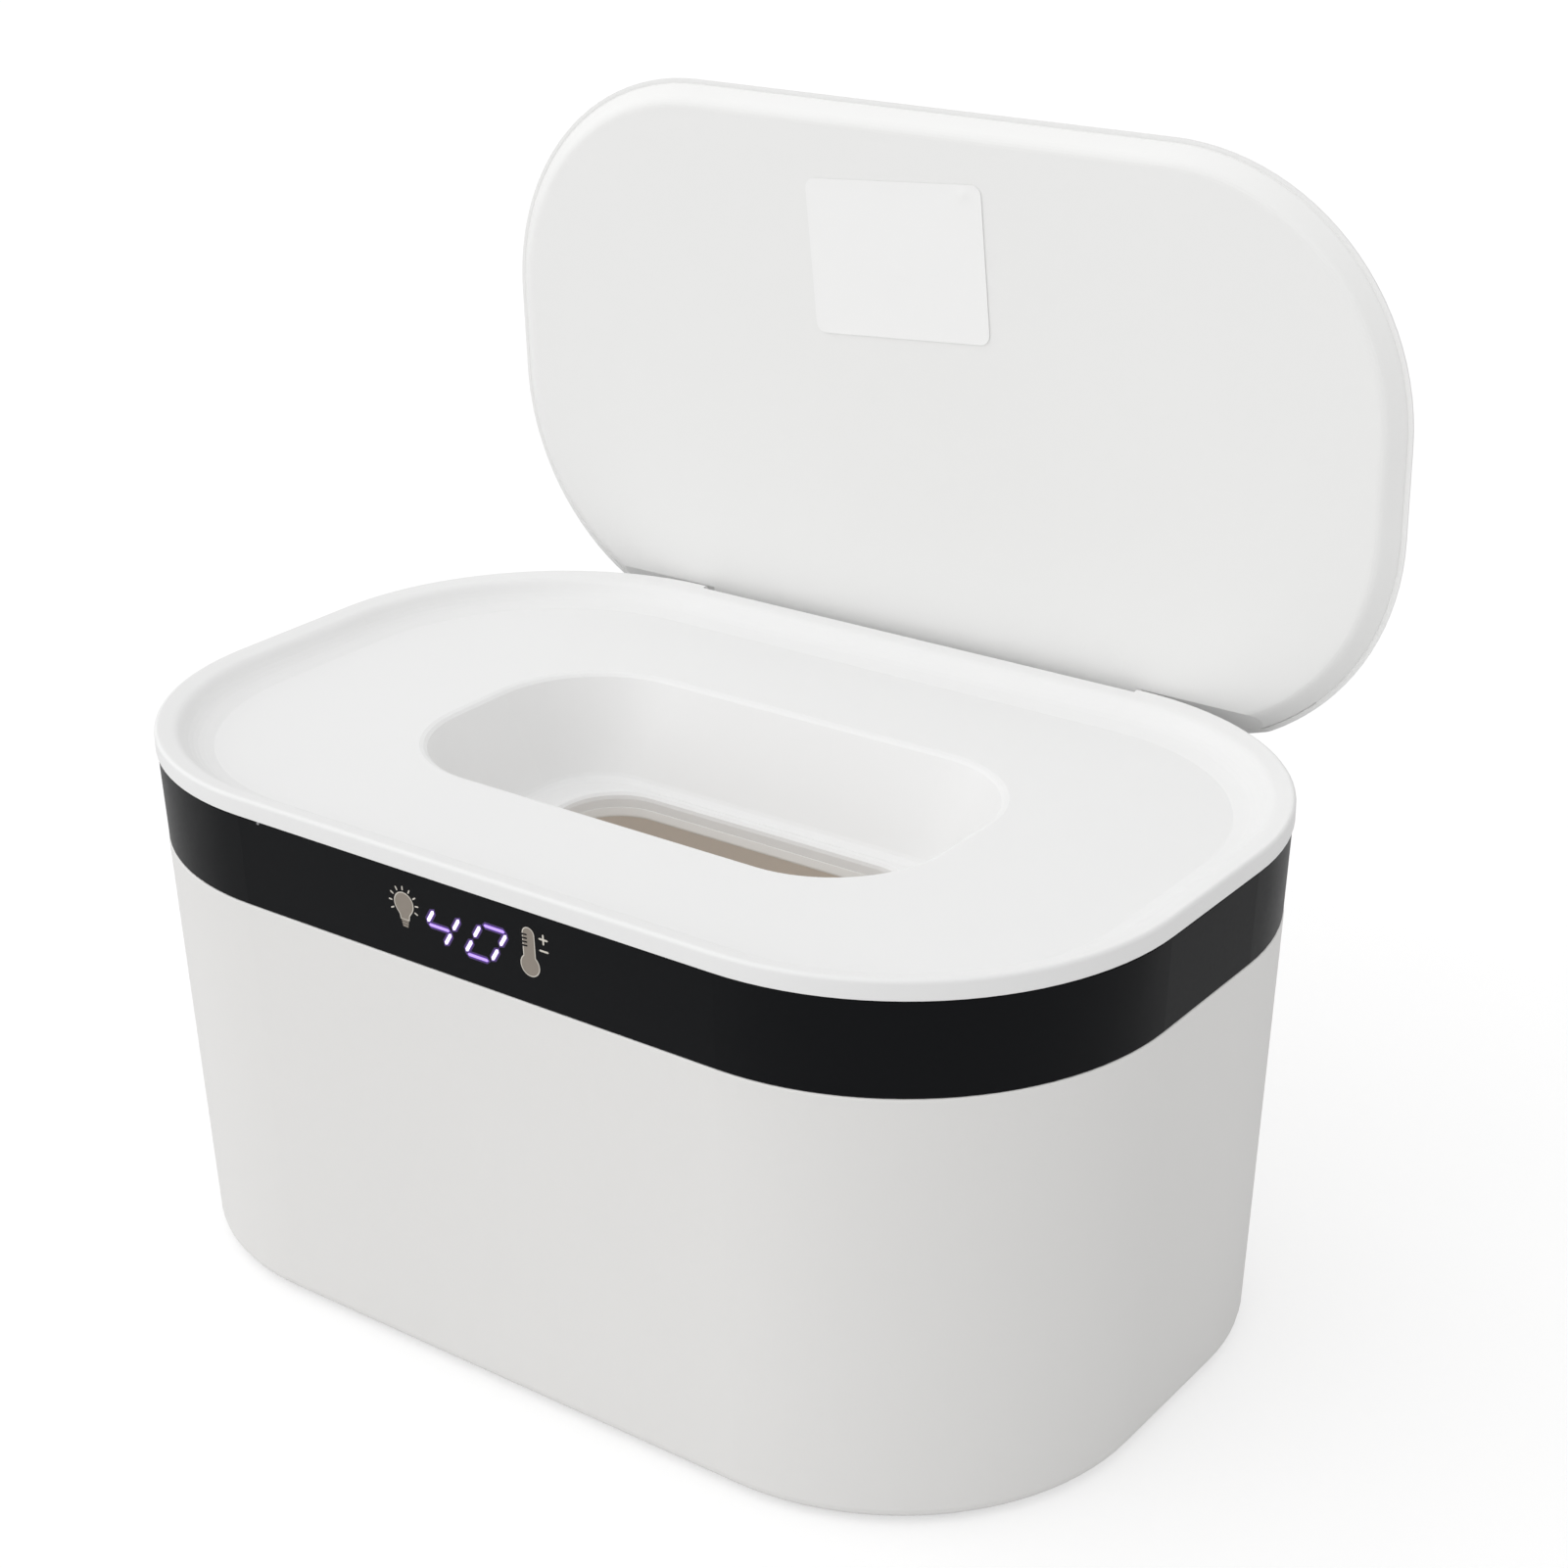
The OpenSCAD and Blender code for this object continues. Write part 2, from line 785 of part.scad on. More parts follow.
// Slanted seven-segment digit whose middle is at x
module digit(x, segments) {
    h = segment_h;
    w = segment_w;
    s = segment_s;
    bars = [
        [[0, h / 2], [w, h / 2]], [[0, -h / 2], [w, -h / 2]], [[0, 0], [w, 0]],
        [[0, 0], [0, h / 2]], [[w, 0], [w, h / 2]],
        [[0, -h / 2], [0, 0]], [[w, -h / 2], [w, 0]]
    ];
    for (i = segments)
        let (p = bars[i][0], q = bars[i][1], flat = p.y == q.y)
        polygon([for (k = [[-1, 0], [0, 1], [1, 0], [0, -1]])
            let (m = (p + q) / 2, run = norm(q - p) / 2 - s / 3)
            let (v = flat ? m + [k.x * run, k.y * s / 2] : m + [k.y * s / 2, k.x * run])
            [x + v.x - w / 2 + slant * v.y, v.y]]);
}

module digit_display() {
    deep = wall_front - display_front - segment_t;
    color([0.05, 0.05, 0.06])
    translate([-digit_l / 2, -display_front - deep, mark_z - digit_h / 2])
        cube([digit_l, deep, digit_h]);
    color([0.85, 0.8, 1])
    translate([0, -display_front - deep, mark_z])
        rotate([90, 0, 0])
            linear_extrude(segment_t) {
                digit(-digit_pitch / 2, [2, 3, 4, 6]);
                digit(digit_pitch / 2, [0, 1, 3, 4, 5, 6]);
            }
}

module touch_pads() {
    deep = wall_front - display_front;
    color([0.3, 0.3, 0.32])
    for (s = [-1, 1])
        translate([s * pad_x, -display_front - deep, mark_z])
            rotate([-90, 0, 0])
                cylinder(r = pad_r, h = deep);
}

module night_light_leds() {
    color([1, 0.93, 0.7])
    for (s = [-1, 1])
        translate([s * led_x - led_size.x / 2, -display_front - led_size.y, mark_z - led_drop])
            translate([0, 0, -led_size.z / 2])
                cube(led_size);
}

module display_screws() {
    color("silver")
    for (s = [-1, 1])
        translate([s * display_screw_x, -display_front + display_t + display_head_h, mark_z])
            rotate([90, 0, 0])
                screw(display_head_r, display_head_h, fine_r, display_t + display_gap);
}

// Dispensing top

module dispensing_top() {
    plate = rounded([
        [0, field_z, 0],
        [field_r, field_z, 0.8],
        [field_r + dish_run, field_z + dish_rise, 8],
        [rim_r - crown_w, rim_z - crown_fall, 3],
        [rim_r, rim_z, rim_edge_r],
        [rim_r, band_top + rim_seam, 0.3],
        [upper_in_r - 0.5, band_top + rim_seam, 0],
        [upper_in_r - 0.5, under_z + 1.4, 0],
        [skirt_r, under_z, 0],
        [skirt_r, skirt_z, 0.3],
        [skirt_r - skirt_t, skirt_z, 0.3],
        [skirt_r - skirt_t, under_z, 0],
        [0, under_z, 0]
    ]);
    color("white")
    difference() {
        union() {
            swept_solid(cx, cy, plate, under_z, field_z);
            well_body();
            hinge_bay();
        }
        well_space();
        slot_space();
        bay_space();
        axis_rod(pin_r + pin_gap, -bay_out_x - 1, -bay_x + 1);
        axis_rod(pin_r + pin_gap, bay_x - 1, bay_out_x + 1);
    }
}

// Outer body of the well, under the plate
module well_body() {
    swept_solid(well_cx, well_cy, rounded([
        [0, floor_under, 0],
        [floor_r + 3.4, floor_under, 3],
        [well_r + top_t + 0.6, field_z - 1, 0],
        [0, field_z - 1, 0]
    ]), floor_under, field_z - 1);
}

// Hollow of the well, from its rounded mouth down to its floor
module well_space() {
    swept_solid(well_cx, well_cy, rounded([
        [0, floor_z, 0],
        [floor_r, floor_z, 3],
        [well_r, field_z, 0],
        [well_r + 1.1, field_z + 0.01, 0],
        [well_r + 1.1, field_z + 1, 0],
        [0, field_z + 1, 0]
    ]), floor_z, field_z + 1);
    swept(well_cx, well_cy, [
        [well_r - 1.6, field_z - 1.5],
        [well_r - 0.55, field_z - 0.85],
        [well_r + 0.25, field_z - 0.25],
        [well_r + 1.1, field_z + 0.01],
        [well_r - 1.6, field_z + 0.01]
    ]);
}

// Dispensing slot through the well's floor, with its upper edge rounded over
module slot_space() {
    round_over = [for (i = [0:3]) let (a = 90 - 30 * i)
        [slot_r + 1.5 - 1.5 * sin(90 - a), floor_z - 1.5 + 1.5 * cos(90 - a) + 0.01]];
    swept_solid(slot_cx, slot_cy, concat(
        [[0, floor_z + 0.5], [slot_r + 1.5, floor_z + 0.5]],
        round_over,
        [[slot_r, floor_under - 1], [0, floor_under - 1]]
    ), floor_under - 1, floor_z + 0.5);
}

// Block behind the skirt that carries the hinge pins, with the lid's open stop along its rear edge
module hinge_bay() {
    translate([-bay_out_x, bay_y - bay_wall, skirt_z])
        cube([2 * bay_out_x, bay_back - bay_y + bay_wall, under_z + 1 - skirt_z]);
    for (s = [-1, 1])
        translate([s * (bay_x + cheek_t / 2) - cheek_t / 2, cheek_y, under_z])
            cube([cheek_t, bay_back - cheek_y, band_top + 2 * rim_seam - under_z]);
}

// Space in which the lid's hinge leaf swings
module bay_space() {
    translate([-bay_x, bay_y, bay_floor])
        cube([2 * bay_x, bay_back - bay_wall - bay_y, under_z - bay_floor]);
    translate([-bay_x, bay_back - bay_wall - 0.1, bay_floor + bay_step])
        cube([2 * bay_x, bay_wall + 2, under_z - bay_floor - bay_step]);
    translate([-bay_x, notch_y, bay_floor + bay_step])
        cube([2 * bay_x, notch_d + 2, rim_z + 2 - bay_floor - bay_step]);
}

module slot_liner() {
    color([0.93, 0.93, 0.92])
    swept(slot_cx, slot_cy, rounded([
        [slot_r - 0.5, floor_under - liner_t, 0.5],
        [slot_r + 4, floor_under - liner_t, 0.5],
        [slot_r + 4, floor_under, 0],
        [slot_r - 0.1, floor_under, 0]
    ], 3));
}

module tank_seal() {
    color([0.8, 0.8, 0.8])
    swept(cx, cy, rounded([
        [skirt_r - skirt_t - 0.3, flange_top, 0.4],
        [skirt_r + 0.3, flange_top, 0.4],
        [skirt_r + 0.3, skirt_z, 0.4],
        [skirt_r - skirt_t - 0.3, skirt_z, 0.4]
    ], 3));
}

module hinge_pins() {
    color("silver")
    for (s = [-1, 1])
        axis_rod(pin_r, s * (bay_x - barrel_l / 2 + cheek_t / 2) - barrel_l / 2 - 1,
                 s * (bay_x - barrel_l / 2 + cheek_t / 2) + barrel_l / 2 + 1);
}

// Lid

// Room round the hinge axis for the rim to pass under the opening lid, wider where
// the rim is whole than along the hinge notch
module roll_space(extra = 0) {
    axis_rod(roll_r + extra, -lid_l, lid_l);
    for (s = [-1, 1])
        axis_rod(rim_roll_r + extra, s > 0 ? bay_x - 0.5 : -lid_l, s > 0 ? lid_l : 0.5 - bay_x);
}

// Outer cover of the lid: a thin edge, a sloped side and a shallow crown, with the
// hinge leaf at its rear
module lid_cover() {
    color("white")
    opened() {
        difference() {
            translate([0, lid_y, 0])
                swept_solid(lid_cx, lid_cy, rounded([
                    [0, edge_z, 0],
                    [lid_r, edge_z, 0],
                    [lid_r, edge_z + edge_lip, 0.3],
                    [lid_r - cover_run, edge_z + cover_h, 7],
                    [0, edge_z + cover_h + cover_rise, 0]
                ], 5), edge_z, edge_z + cover_h + cover_rise);
            translate([0, lid_y, 0])
                swept_solid(lid_cx, lid_cy, rounded([
                    [0, edge_z - 1, 0],
                    [lid_r - edge_t, edge_z - 1, 0],
                    [lid_r - edge_t, edge_z, 0],
                    [lid_r - cover_run - cover_t, edge_z + cover_h - cover_t, 5],
                    [0, edge_z + cover_h - cover_t + cover_rise, 0]
                ], 5), edge_z - 1, edge_z + cover_h - cover_t + cover_rise);
            roll_space();
        }
        hinge_leaf();
    }
}

// Leaf that reaches over the rim into the bay, with a barrel at each end
module hinge_leaf() {
    out = leaf_in + leaf_t;
    over = roll_r + leaf_t;
    start = asin((lid_rear_y - axis_y) / roll_r);
    stop = asin(leaf_in / roll_r);
    under = [for (i = [0:4]) let (a = start + (stop - start) * i / 4)
        [axis_y + roll_r * sin(a), axis_z + roll_r * cos(a)]];
    leaf = concat(
        [[lid_rear_y - 3, axis_z + over], [lid_rear_y - 1, axis_z + roll_r]],
        under,
        [[axis_y + leaf_in, axis_z - 3], [axis_y + out, axis_z - 3],
         [axis_y + out, axis_z + over - 1.4], [axis_y + out - 1.4, axis_z + over]]);
    translate([-leaf_x, 0, 0])
        rotate([90, 0, 90])
            linear_extrude(2 * leaf_x)
                polygon(leaf);
    for (s = [-1, 1])
        difference() {
            union() {
                axis_rod(barrel_r, s * (leaf_x - barrel_l / 2) - barrel_l / 2,
                         s * (leaf_x - barrel_l / 2) + barrel_l / 2);
                translate([s * (leaf_x - barrel_l / 2) - barrel_l / 2, axis_y, axis_z - barrel_r])
                    cube([barrel_l, leaf_in + 0.5, 2]);
            }
            axis_rod(pin_r + pin_gap, s * (leaf_x - barrel_l / 2) - barrel_l / 2 - 1,
                     s * (leaf_x - barrel_l / 2) + barrel_l / 2 + 1);
        }
}

// Inner panel: a shallow tray whose raised field faces the dish when the lid is shut,
// and whose side follows the inside of the cover
module lid_inner_panel() {
    side = lid_r - edge_t - seam;
    lean = (cover_run + cover_t - edge_t) / (cover_h - cover_t);
    top_side = side - lean * (panel_top - edge_z);
    color([0.97, 0.97, 0.97])
    opened()
        difference() {
            translate([0, lid_y, 0])
                swept_solid(lid_cx, lid_cy, rounded([
                    [0, panel_z, 0],
                    [lid_r - lid_border, panel_z, 3],
                    [side, edge_z + 0.1, 0.4],
                    [top_side, panel_top, 0],
                    [0, panel_top, 0]
                ]), panel_z, panel_top);
            difference() {
                translate([0, lid_y, 0])
                    swept_solid(lid_cx, lid_cy, [
                        [0, panel_z + panel_t],
                        [lid_r - lid_border - 0.8, panel_z + panel_t],
                        [top_side - panel_t, edge_z + 1],
                        [top_side - panel_t, panel_top + 1],
                        [0, panel_top + 1]
                    ], panel_z + panel_t, panel_top + 1);
                roll_space(panel_t);
            }
            roll_space();
        }
}

casing_shell();
dark_band();
base_cover();
rubber_feet();
base_screws();
tank();
insulation_sleeve();
heater_plate();
heater_mat();
floor_insulation();
heater_clamp();
clamp_screws();
thermal_fuse();
temperature_sensor();
main_board();
board_components();
board_screws();
power_socket();
heater_leads();
display_cable();
display_board();
digit_display();
touch_pads();
night_light_leds();
display_screws();
dispensing_top();
slot_liner();
tank_seal();
hinge_pins();
lid_cover();
lid_inner_panel();
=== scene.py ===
import json
import math

import bmesh
import bpy
from bpy.props import FloatProperty, FloatVectorProperty, PointerProperty
from mathutils import Matrix, Vector


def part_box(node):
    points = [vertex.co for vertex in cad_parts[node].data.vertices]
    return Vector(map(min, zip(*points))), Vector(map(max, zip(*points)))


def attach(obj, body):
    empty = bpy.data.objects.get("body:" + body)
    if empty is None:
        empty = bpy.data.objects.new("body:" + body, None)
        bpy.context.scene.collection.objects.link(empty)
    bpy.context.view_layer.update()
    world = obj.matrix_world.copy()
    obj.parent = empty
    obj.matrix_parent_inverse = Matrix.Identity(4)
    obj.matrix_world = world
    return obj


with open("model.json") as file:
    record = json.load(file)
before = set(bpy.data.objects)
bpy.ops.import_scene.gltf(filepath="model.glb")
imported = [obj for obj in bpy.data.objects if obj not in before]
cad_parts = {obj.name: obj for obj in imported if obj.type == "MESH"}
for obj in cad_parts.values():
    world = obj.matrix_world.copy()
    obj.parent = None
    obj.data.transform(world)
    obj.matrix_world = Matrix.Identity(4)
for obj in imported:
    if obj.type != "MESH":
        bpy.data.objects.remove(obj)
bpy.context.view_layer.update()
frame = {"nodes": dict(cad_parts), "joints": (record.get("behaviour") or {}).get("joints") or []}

bl_info = {
    "name": "Baby Wipe Warmer Studio",
    "version": (1, 0, 0),
    "blender": (4, 5, 0),
    "location": "3D View > Sidebar > Wipe Warmer",
    "description": "Finishes, band marks, lid sticker and studio for a baby wipe warmer",
    "category": "Object",
}

MM = 0.001

# What the frame gives
NODES = frame["nodes"]
LID_HINGE = next(j for j in frame["joints"] if j["name"] == "lid_hinge")
HINGE_AT = Vector(LID_HINGE["pos_m"])
LID_SWING = math.radians(LID_HINGE["range_deg"][1])  # from open, as it rests, to shut
BAND_LOW, BAND_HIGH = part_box("dark_band")

# Shading
CREASE = 32.0  # degrees; faces that meet more sharply keep their crease
STICKER_CREASE = 50.0
TINY_LENGTH = 1e-9
TINY_AREA = 1e-18
MIX_FIRST, MIX_SECOND, MIX_RESULT = 6, 7, 2  # the Mix node's colour sockets
DRIFT_SCALE, RIPPLE_SCALE, WEAR_SCALE = 14.0, 38.0, 120.0
EDGE_POINTINESS = (0.52, 0.60)
DUST_COLOUR, DUST_COVER = (0.55, 0.55, 0.56), 0.6
WEAR_LIGHTER = 0.02
LAMP_BODY, LAMP_ROUGHNESS = 0.4, 0.4

# Band marks, in millimetres on the band's face: across from the middle, and up.
# A sweep is an arc's first angle, last angle and number of steps
BAND_LEAN = 0.0375  # inward lean of the band's face per unit of fall
BULB_AT, METER_AT = (-14.25, 99.62), (15.05, 95.85)
PLUS_AT, MINUS_AT = (18.48, 101.85), (18.48, 99.58)
LINE_WIDTH = 0.20
LINE_RISE, TICK_RISE = 0.6, 1.6  # as shares of the marks' relief
BULB_RADIUS, BULB_SWEEP = 2.14, (-35, 215, 26)
BULB_NECK = [(-1.02, -2.20), (-0.90, -3.02), (0.90, -3.02), (1.02, -2.20)]
CAP_TURN = [(-0.92, -3.12), (0.92, -3.20), (0.84, -3.62), (-0.84, -3.54)]
CAP_COUNT, CAP_TAPER, CAP_PITCH = 3, 0.12, 0.53
RAY_COUNT, RAY_FIRST, RAY_STEP = 9, -24.0, 28.75
RAY_FROM, RAY_TO, RAY_WIDTH = 2.82, 3.46, 0.29
STEM_TOP, STEM_RADIUS, STEM_SWEEP = (0, 6.10), 1.20, (0, 180, 16)
RESERVOIR_RADIUS, RESERVOIR_SWEEP = 2.00, (127, 413, 32)
TICK_FROM, TICK_TO = (-1.40, 5.88), (-0.38, 5.98)
TICK_COUNT, TICK_PITCH, TICK_WIDTH = 4, 0.73, 0.32
PLUS_HALF, PLUS_WIDTH = 0.88, 0.38
STROKE_TRIM = 0.96
MITRE_LIMIT = 0.4
LAYER_RISE = 0.02  # by how much each outline stands above the one before
SEGMENT_INSET, SEGMENT_GAP = 0.90, 0.78
LEVEL_WIDTH = 0.76  # width of a level stroke as a share of an upright one
GLOW_EXTRA, HALO_EXTRA = 0.34, 1.0  # width beyond the strokes
GLOW_RISE, HALO_RISE = 0.6, 0.3  # as shares of the marks' relief
LIT_POWER, VIOLET_POWER, GLOW_POWER, HALO_POWER = 1.15, 1.0, 0.35, 0.2
HALO_SHADE = 0.35  # colour of the halo as a share of the glow's
DIGITS = (
    ((-5.96, 97.20), ("middle", "upper left", "upper right", "lower right")),
    ((5.02, 97.30), ("top", "bottom", "upper left", "upper right", "lower left", "lower right")),
)

# Lid, in millimetres from the hinge axis unless MM is given
LID_MIDDLE = 59.8
LID_HALF = (107.2, 60.5)
LID_CORNER = 51.3
# Each corner's side and row, and the angles that its arc runs between
LID_SWEEPS = ((1, -1, -46, 0), (1, 1, 0, 90), (-1, 1, 90, 180), (-1, -1, 180, 226))
CORNER_STEPS = 24
WELD_INSETS = (0.70, 1.08)
WELD_DOWN = 3.23 * MM  # from the raised panel's face to the back of the weld line
WELD_THICK = 0.15 * MM
GATE_AT, GATE_RADII, GATE_SWEEP = (44.7, 14.3), (4.9, 4.6), (-15, 165)
GATE_THICK = 0.00003  # metres

# Sticker, in metres from its middle
STICKER_GRID = (64, 48)
BLISTER_AT, BLISTER_WIDE, BLISTER_HIGH = (0.0168, 0.0140), 0.0010, 0.00032
CREASE_AT, CREASE_WAY = (0.0010, -0.0026), (0.56, 0.83)
CREASE_WIDE, CREASE_LONG, CREASE_HIGH = 0.0008, 0.0026, 0.00012
EDGE_LIFT, EDGE_POWER = 0.00006, 14
PAPER_OFF, PAPER_ABOVE, PAPER_BELOW = 0.00008, 0.00009, 0.00006

# Studio, in metres and degrees
FLOOR_HALF = 6
FLOOR_Z = -0.00005  # just below the feet, so that the two faces don't share a plane
CAMERA_AT = (0.3142, -0.4042, 0.3233)
CAMERA_TURN = (36.21, 23.46, -0.47)  # azimuth, elevation and roll
CAMERA_CLIP = (0.01, 50.0)
SENSOR_WIDTH = 36.0  # millimetres


# Sizes and colours that a user would change

def colour(name, description, default):
    """A colour setting."""
    return FloatVectorProperty(name=name, description=description, default=default,
                               subtype="COLOR", size=3, min=0.0, max=1.0)


def length(name, description, default_mm, low=0.0, high=500.0):
    """A length setting, given in millimetres and kept in metres."""
    return FloatProperty(name=name, description=description, default=default_mm * MM,
                         min=low * MM, max=high * MM, unit="LENGTH", subtype="DISTANCE")


def factor(name, description, default):
    """A setting between nought and one."""
    return FloatProperty(name=name, description=description, default=default,
                         min=0.0, max=1.0, subtype="FACTOR")


def angle(name, description, degrees):
    """An angle setting, given in degrees and kept in radians."""
    return FloatProperty(name=name, description=description, default=math.radians(degrees),
                         unit="ROTATION", subtype="ANGLE")


class WarmerPlastics(bpy.types.PropertyGroup):
    """Colours and gloss of the moulded parts"""
    casing: colour("Casing", "Colour of the casing and base cover", (0.82, 0.813, 0.80))
    top: colour("Top", "Colour of the dispensing top", (0.87, 0.87, 0.868))
    # Painted light: the lid is the same satin plastic as the top, given a lighter colour for the
    # extra light it catches
    lid: colour("Lid", "Colour of the lid's cover and panel", (0.895, 0.895, 0.887))
    band: colour("Band", "Colour of the dark touch band", (0.0060, 0.0064, 0.0074))
    tank: colour("Tank", "Colour of the inner tank", (0.64, 0.54, 0.42))
    # Painted light: a weak white glow over the whole tank, which lightens its shaded inside as
    # seen through the slot; the tank is no lamp
    tank_painted_glow: factor("Tank glow", "Daylight that shines through the tank's thin walls", 0.14)
    rubber: colour("Rubber", "Colour of the rubber feet", (0.035, 0.035, 0.036))
    casing_gloss: factor("Casing roughness", "Roughness of the casing's fine texture", 0.46)
    top_gloss: factor("Top roughness", "Roughness of the dispensing top and lid", 0.36)
    band_gloss: factor("Band roughness", "Roughness of the touch band", 0.36)


class WarmerMarks(bpy.types.PropertyGroup):
    """The lit digits and printed marks on the band"""
    digit_height: length("Digit height", "Height of a lit digit", 6.95, 2, 12)
    digit_width: length("Digit width", "Width between a digit's upright strokes", 6.05, 1, 10)
    digit_stroke: length("Digit stroke", "Width of a lit stroke", 0.74, 0.2, 2)
    digit_slant: factor("Digit slant", "Sideways lean of the digits per unit of height", 0.63)
    relief: length("Relief", "Height by which the marks stand on the band", 0.06, 0.01, 0.5)
    print_colour: colour("Print", "Colour of the printed bulb and thermometer",
                         (0.30, 0.262, 0.222))
    edge_colour: colour("Print edge", "Colour of the fine line round the printed marks",
                        (0.72, 0.68, 0.61))
    lit_colour: colour("Digit light", "Colour of the digits' upright strokes", (0.88, 0.80, 1.0))
    violet_colour: colour("Digit violet", "Colour of the digits' level strokes",
                          (0.50, 0.33, 0.98))
    glow_colour: colour("Digit glow", "Colour of the glow round the digits", (0.22, 0.08, 0.60))


class WarmerSticker(bpy.types.PropertyGroup):
    """The blank sticker inside the lid"""
    width: length("Width", "Width of the sticker", 42.1, 10, 80)
    height: length("Height", "Height of the sticker", 31.8, 10, 60)
    corner: length("Corner radius", "Corner radius of the sticker", 2.2, 0.5, 8)
    across: length("Across", "Distance of the sticker's middle from the lid's middle",
                   -4.3, -80, 80)
    from_hinge: length("From hinge", "Distance of the sticker's middle from the hinge axis",
                       89.7, 30, 110)
    turn: angle("Turn", "Turn of the sticker in the lid's plane", 4.5)
    paper: colour("Paper", "Colour of the sticker", (0.95, 0.95, 0.945))


class WarmerStudio(bpy.types.PropertyGroup):
    """Floor, lights and camera"""
    floor: colour("Floor", "Colour of the studio floor", (0.56, 0.56, 0.56))
    key_strength: FloatProperty(name="Key strength", default=0.35, min=0.0,
                                description="Strength of the broad overhead light")
    key_spread: angle("Key spread", "Apparent width of the broad overhead light", 75)
    key_tilt: angle("Key tilt", "Lean of the overhead light towards the front", 48)
    key_turn: angle("Key turn", "Turn of the overhead light towards the left", 50)
    sky: factor("Surround", "Middle brightness of the white surround", 0.76)
    sky_lean: FloatVectorProperty(
        name="Surround lean", size=3, subtype="XYZ", default=(-0.21, -0.20, 0.20),
        description="Extra brightness of the surround towards right, rear and top")
    floor_glow: factor("Floor glow", "Light that the floor gives off to the camera", 0.50)
    floor_bounce: factor("Floor bounce", "Light that the floor gives off to the object", 0.18)
    lens: FloatProperty(name="Lens", default=66.2, min=20.0, max=200.0,
                        description="Focal length of the camera on a 36 mm sensor")


GROUPS = {
    "warmer_plastics": WarmerPlastics,
    "warmer_marks": WarmerMarks,
    "warmer_sticker": WarmerSticker,
    "warmer_studio": WarmerStudio,
}


# Shader groups shared by the finishes

def group_with(name, inputs, outputs):
    """A new shader group with its sockets, its input node and its output node."""
    tree = bpy.data.node_groups.new(name, "ShaderNodeTree")
    for label, kind, value in inputs:
        socket = tree.interface.new_socket(name=label, in_out="INPUT", socket_type=kind)
        socket.default_value = value
    for label, kind in outputs:
        tree.interface.new_socket(name=label, in_out="OUTPUT", socket_type=kind)
    return tree, tree.nodes.new("NodeGroupInput"), tree.nodes.new("NodeGroupOutput")


def feed(tree, value, socket):
    """Links a socket's value, or sets a plain number."""
    if isinstance(value, (int, float)):
        socket.default_value = value
    else:
        tree.links.new(value, socket)


def math_node(tree, operation, first, second, clamp=False):
    """A Math node fed by sockets or plain values; gives its output."""
    node = tree.nodes.new("ShaderNodeMath")
    node.operation = operation
    node.use_clamp = clamp
    feed(tree, first, node.inputs[0])
    feed(tree, second, node.inputs[1])
    return node.outputs[0]


def noise_node(tree, coordinates, scale, detail, rough):
    """A Noise Texture; gives its grey value."""
    node = tree.nodes.new("ShaderNodeTexNoise")
    tree.links.new(coordinates, node.inputs["Vector"])
    for label, value in (("Scale", scale), ("Detail", detail), ("Roughness", rough)):
        feed(tree, value, node.inputs[label])
    return node.outputs["Fac"]


def centred(tree, signal, amount):
    """A signal moved to lie round nought, times an amount."""
    return math_node(tree, "MULTIPLY", math_node(tree, "SUBTRACT", signal, 0.5), amount)


def mix_colours(tree, amount, first, second):
    """A colour mix of a socket with a plain colour; gives its output."""
    node = tree.nodes.new("ShaderNodeMix")
    node.data_type = "RGBA"
    tree.links.new(amount, node.inputs[0])
    tree.links.new(first, node.inputs[MIX_FIRST])
    node.inputs[MIX_SECOND].default_value = (*second, 1.0)
    return node.outputs[MIX_RESULT]


def moulded_texture():
    """Fine spark texture, slow colour drift and gloss drift of moulded plastic."""
    tree, given, out = group_with(
        "Moulded Texture",
        [("Colour", "NodeSocketColor", (0.8, 0.8, 0.8, 1)), ("Drift", "NodeSocketFloat", 0.03),
         ("Roughness", "NodeSocketFloat", 0.4), ("Gloss Drift", "NodeSocketFloat", 0.06),
         ("Grain Size", "NodeSocketFloat", 2400.0), ("Ripple", "NodeSocketFloat", 0.0)],
        [("Colour", "NodeSocketColor"), ("Roughness", "NodeSocketFloat"),
         ("Height", "NodeSocketFloat")])
    place = tree.nodes.new("ShaderNodeTexCoord").outputs["Object"]
    slow = noise_node(tree, place, DRIFT_SCALE, 3.0, 0.55)
    fine = noise_node(tree, place, given.outputs["Grain Size"], 3.0, 0.6)
    ripple = noise_node(tree, place, RIPPLE_SCALE, 1.0, 0.4)
    shade = tree.nodes.new("ShaderNodeHueSaturation")
    tree.links.new(given.outputs["Colour"], shade.inputs["Color"])
    drift = centred(tree, slow, given.outputs["Drift"])
    tree.links.new(math_node(tree, "ADD", drift, 1.0), shade.inputs["Value"])
    tree.links.new(shade.outputs["Color"], out.inputs["Colour"])
    gloss = math_node(tree, "ADD", centred(tree, fine, given.outputs["Gloss Drift"]),
                      centred(tree, slow, given.outputs["Gloss Drift"]))
    gloss = math_node(tree, "ADD", gloss, given.outputs["Roughness"], clamp=True)
    tree.links.new(gloss, out.inputs["Roughness"])
    ripple = math_node(tree, "MULTIPLY", ripple, given.outputs["Ripple"])
    tree.links.new(math_node(tree, "ADD", fine, ripple), out.inputs["Height"])
    return tree


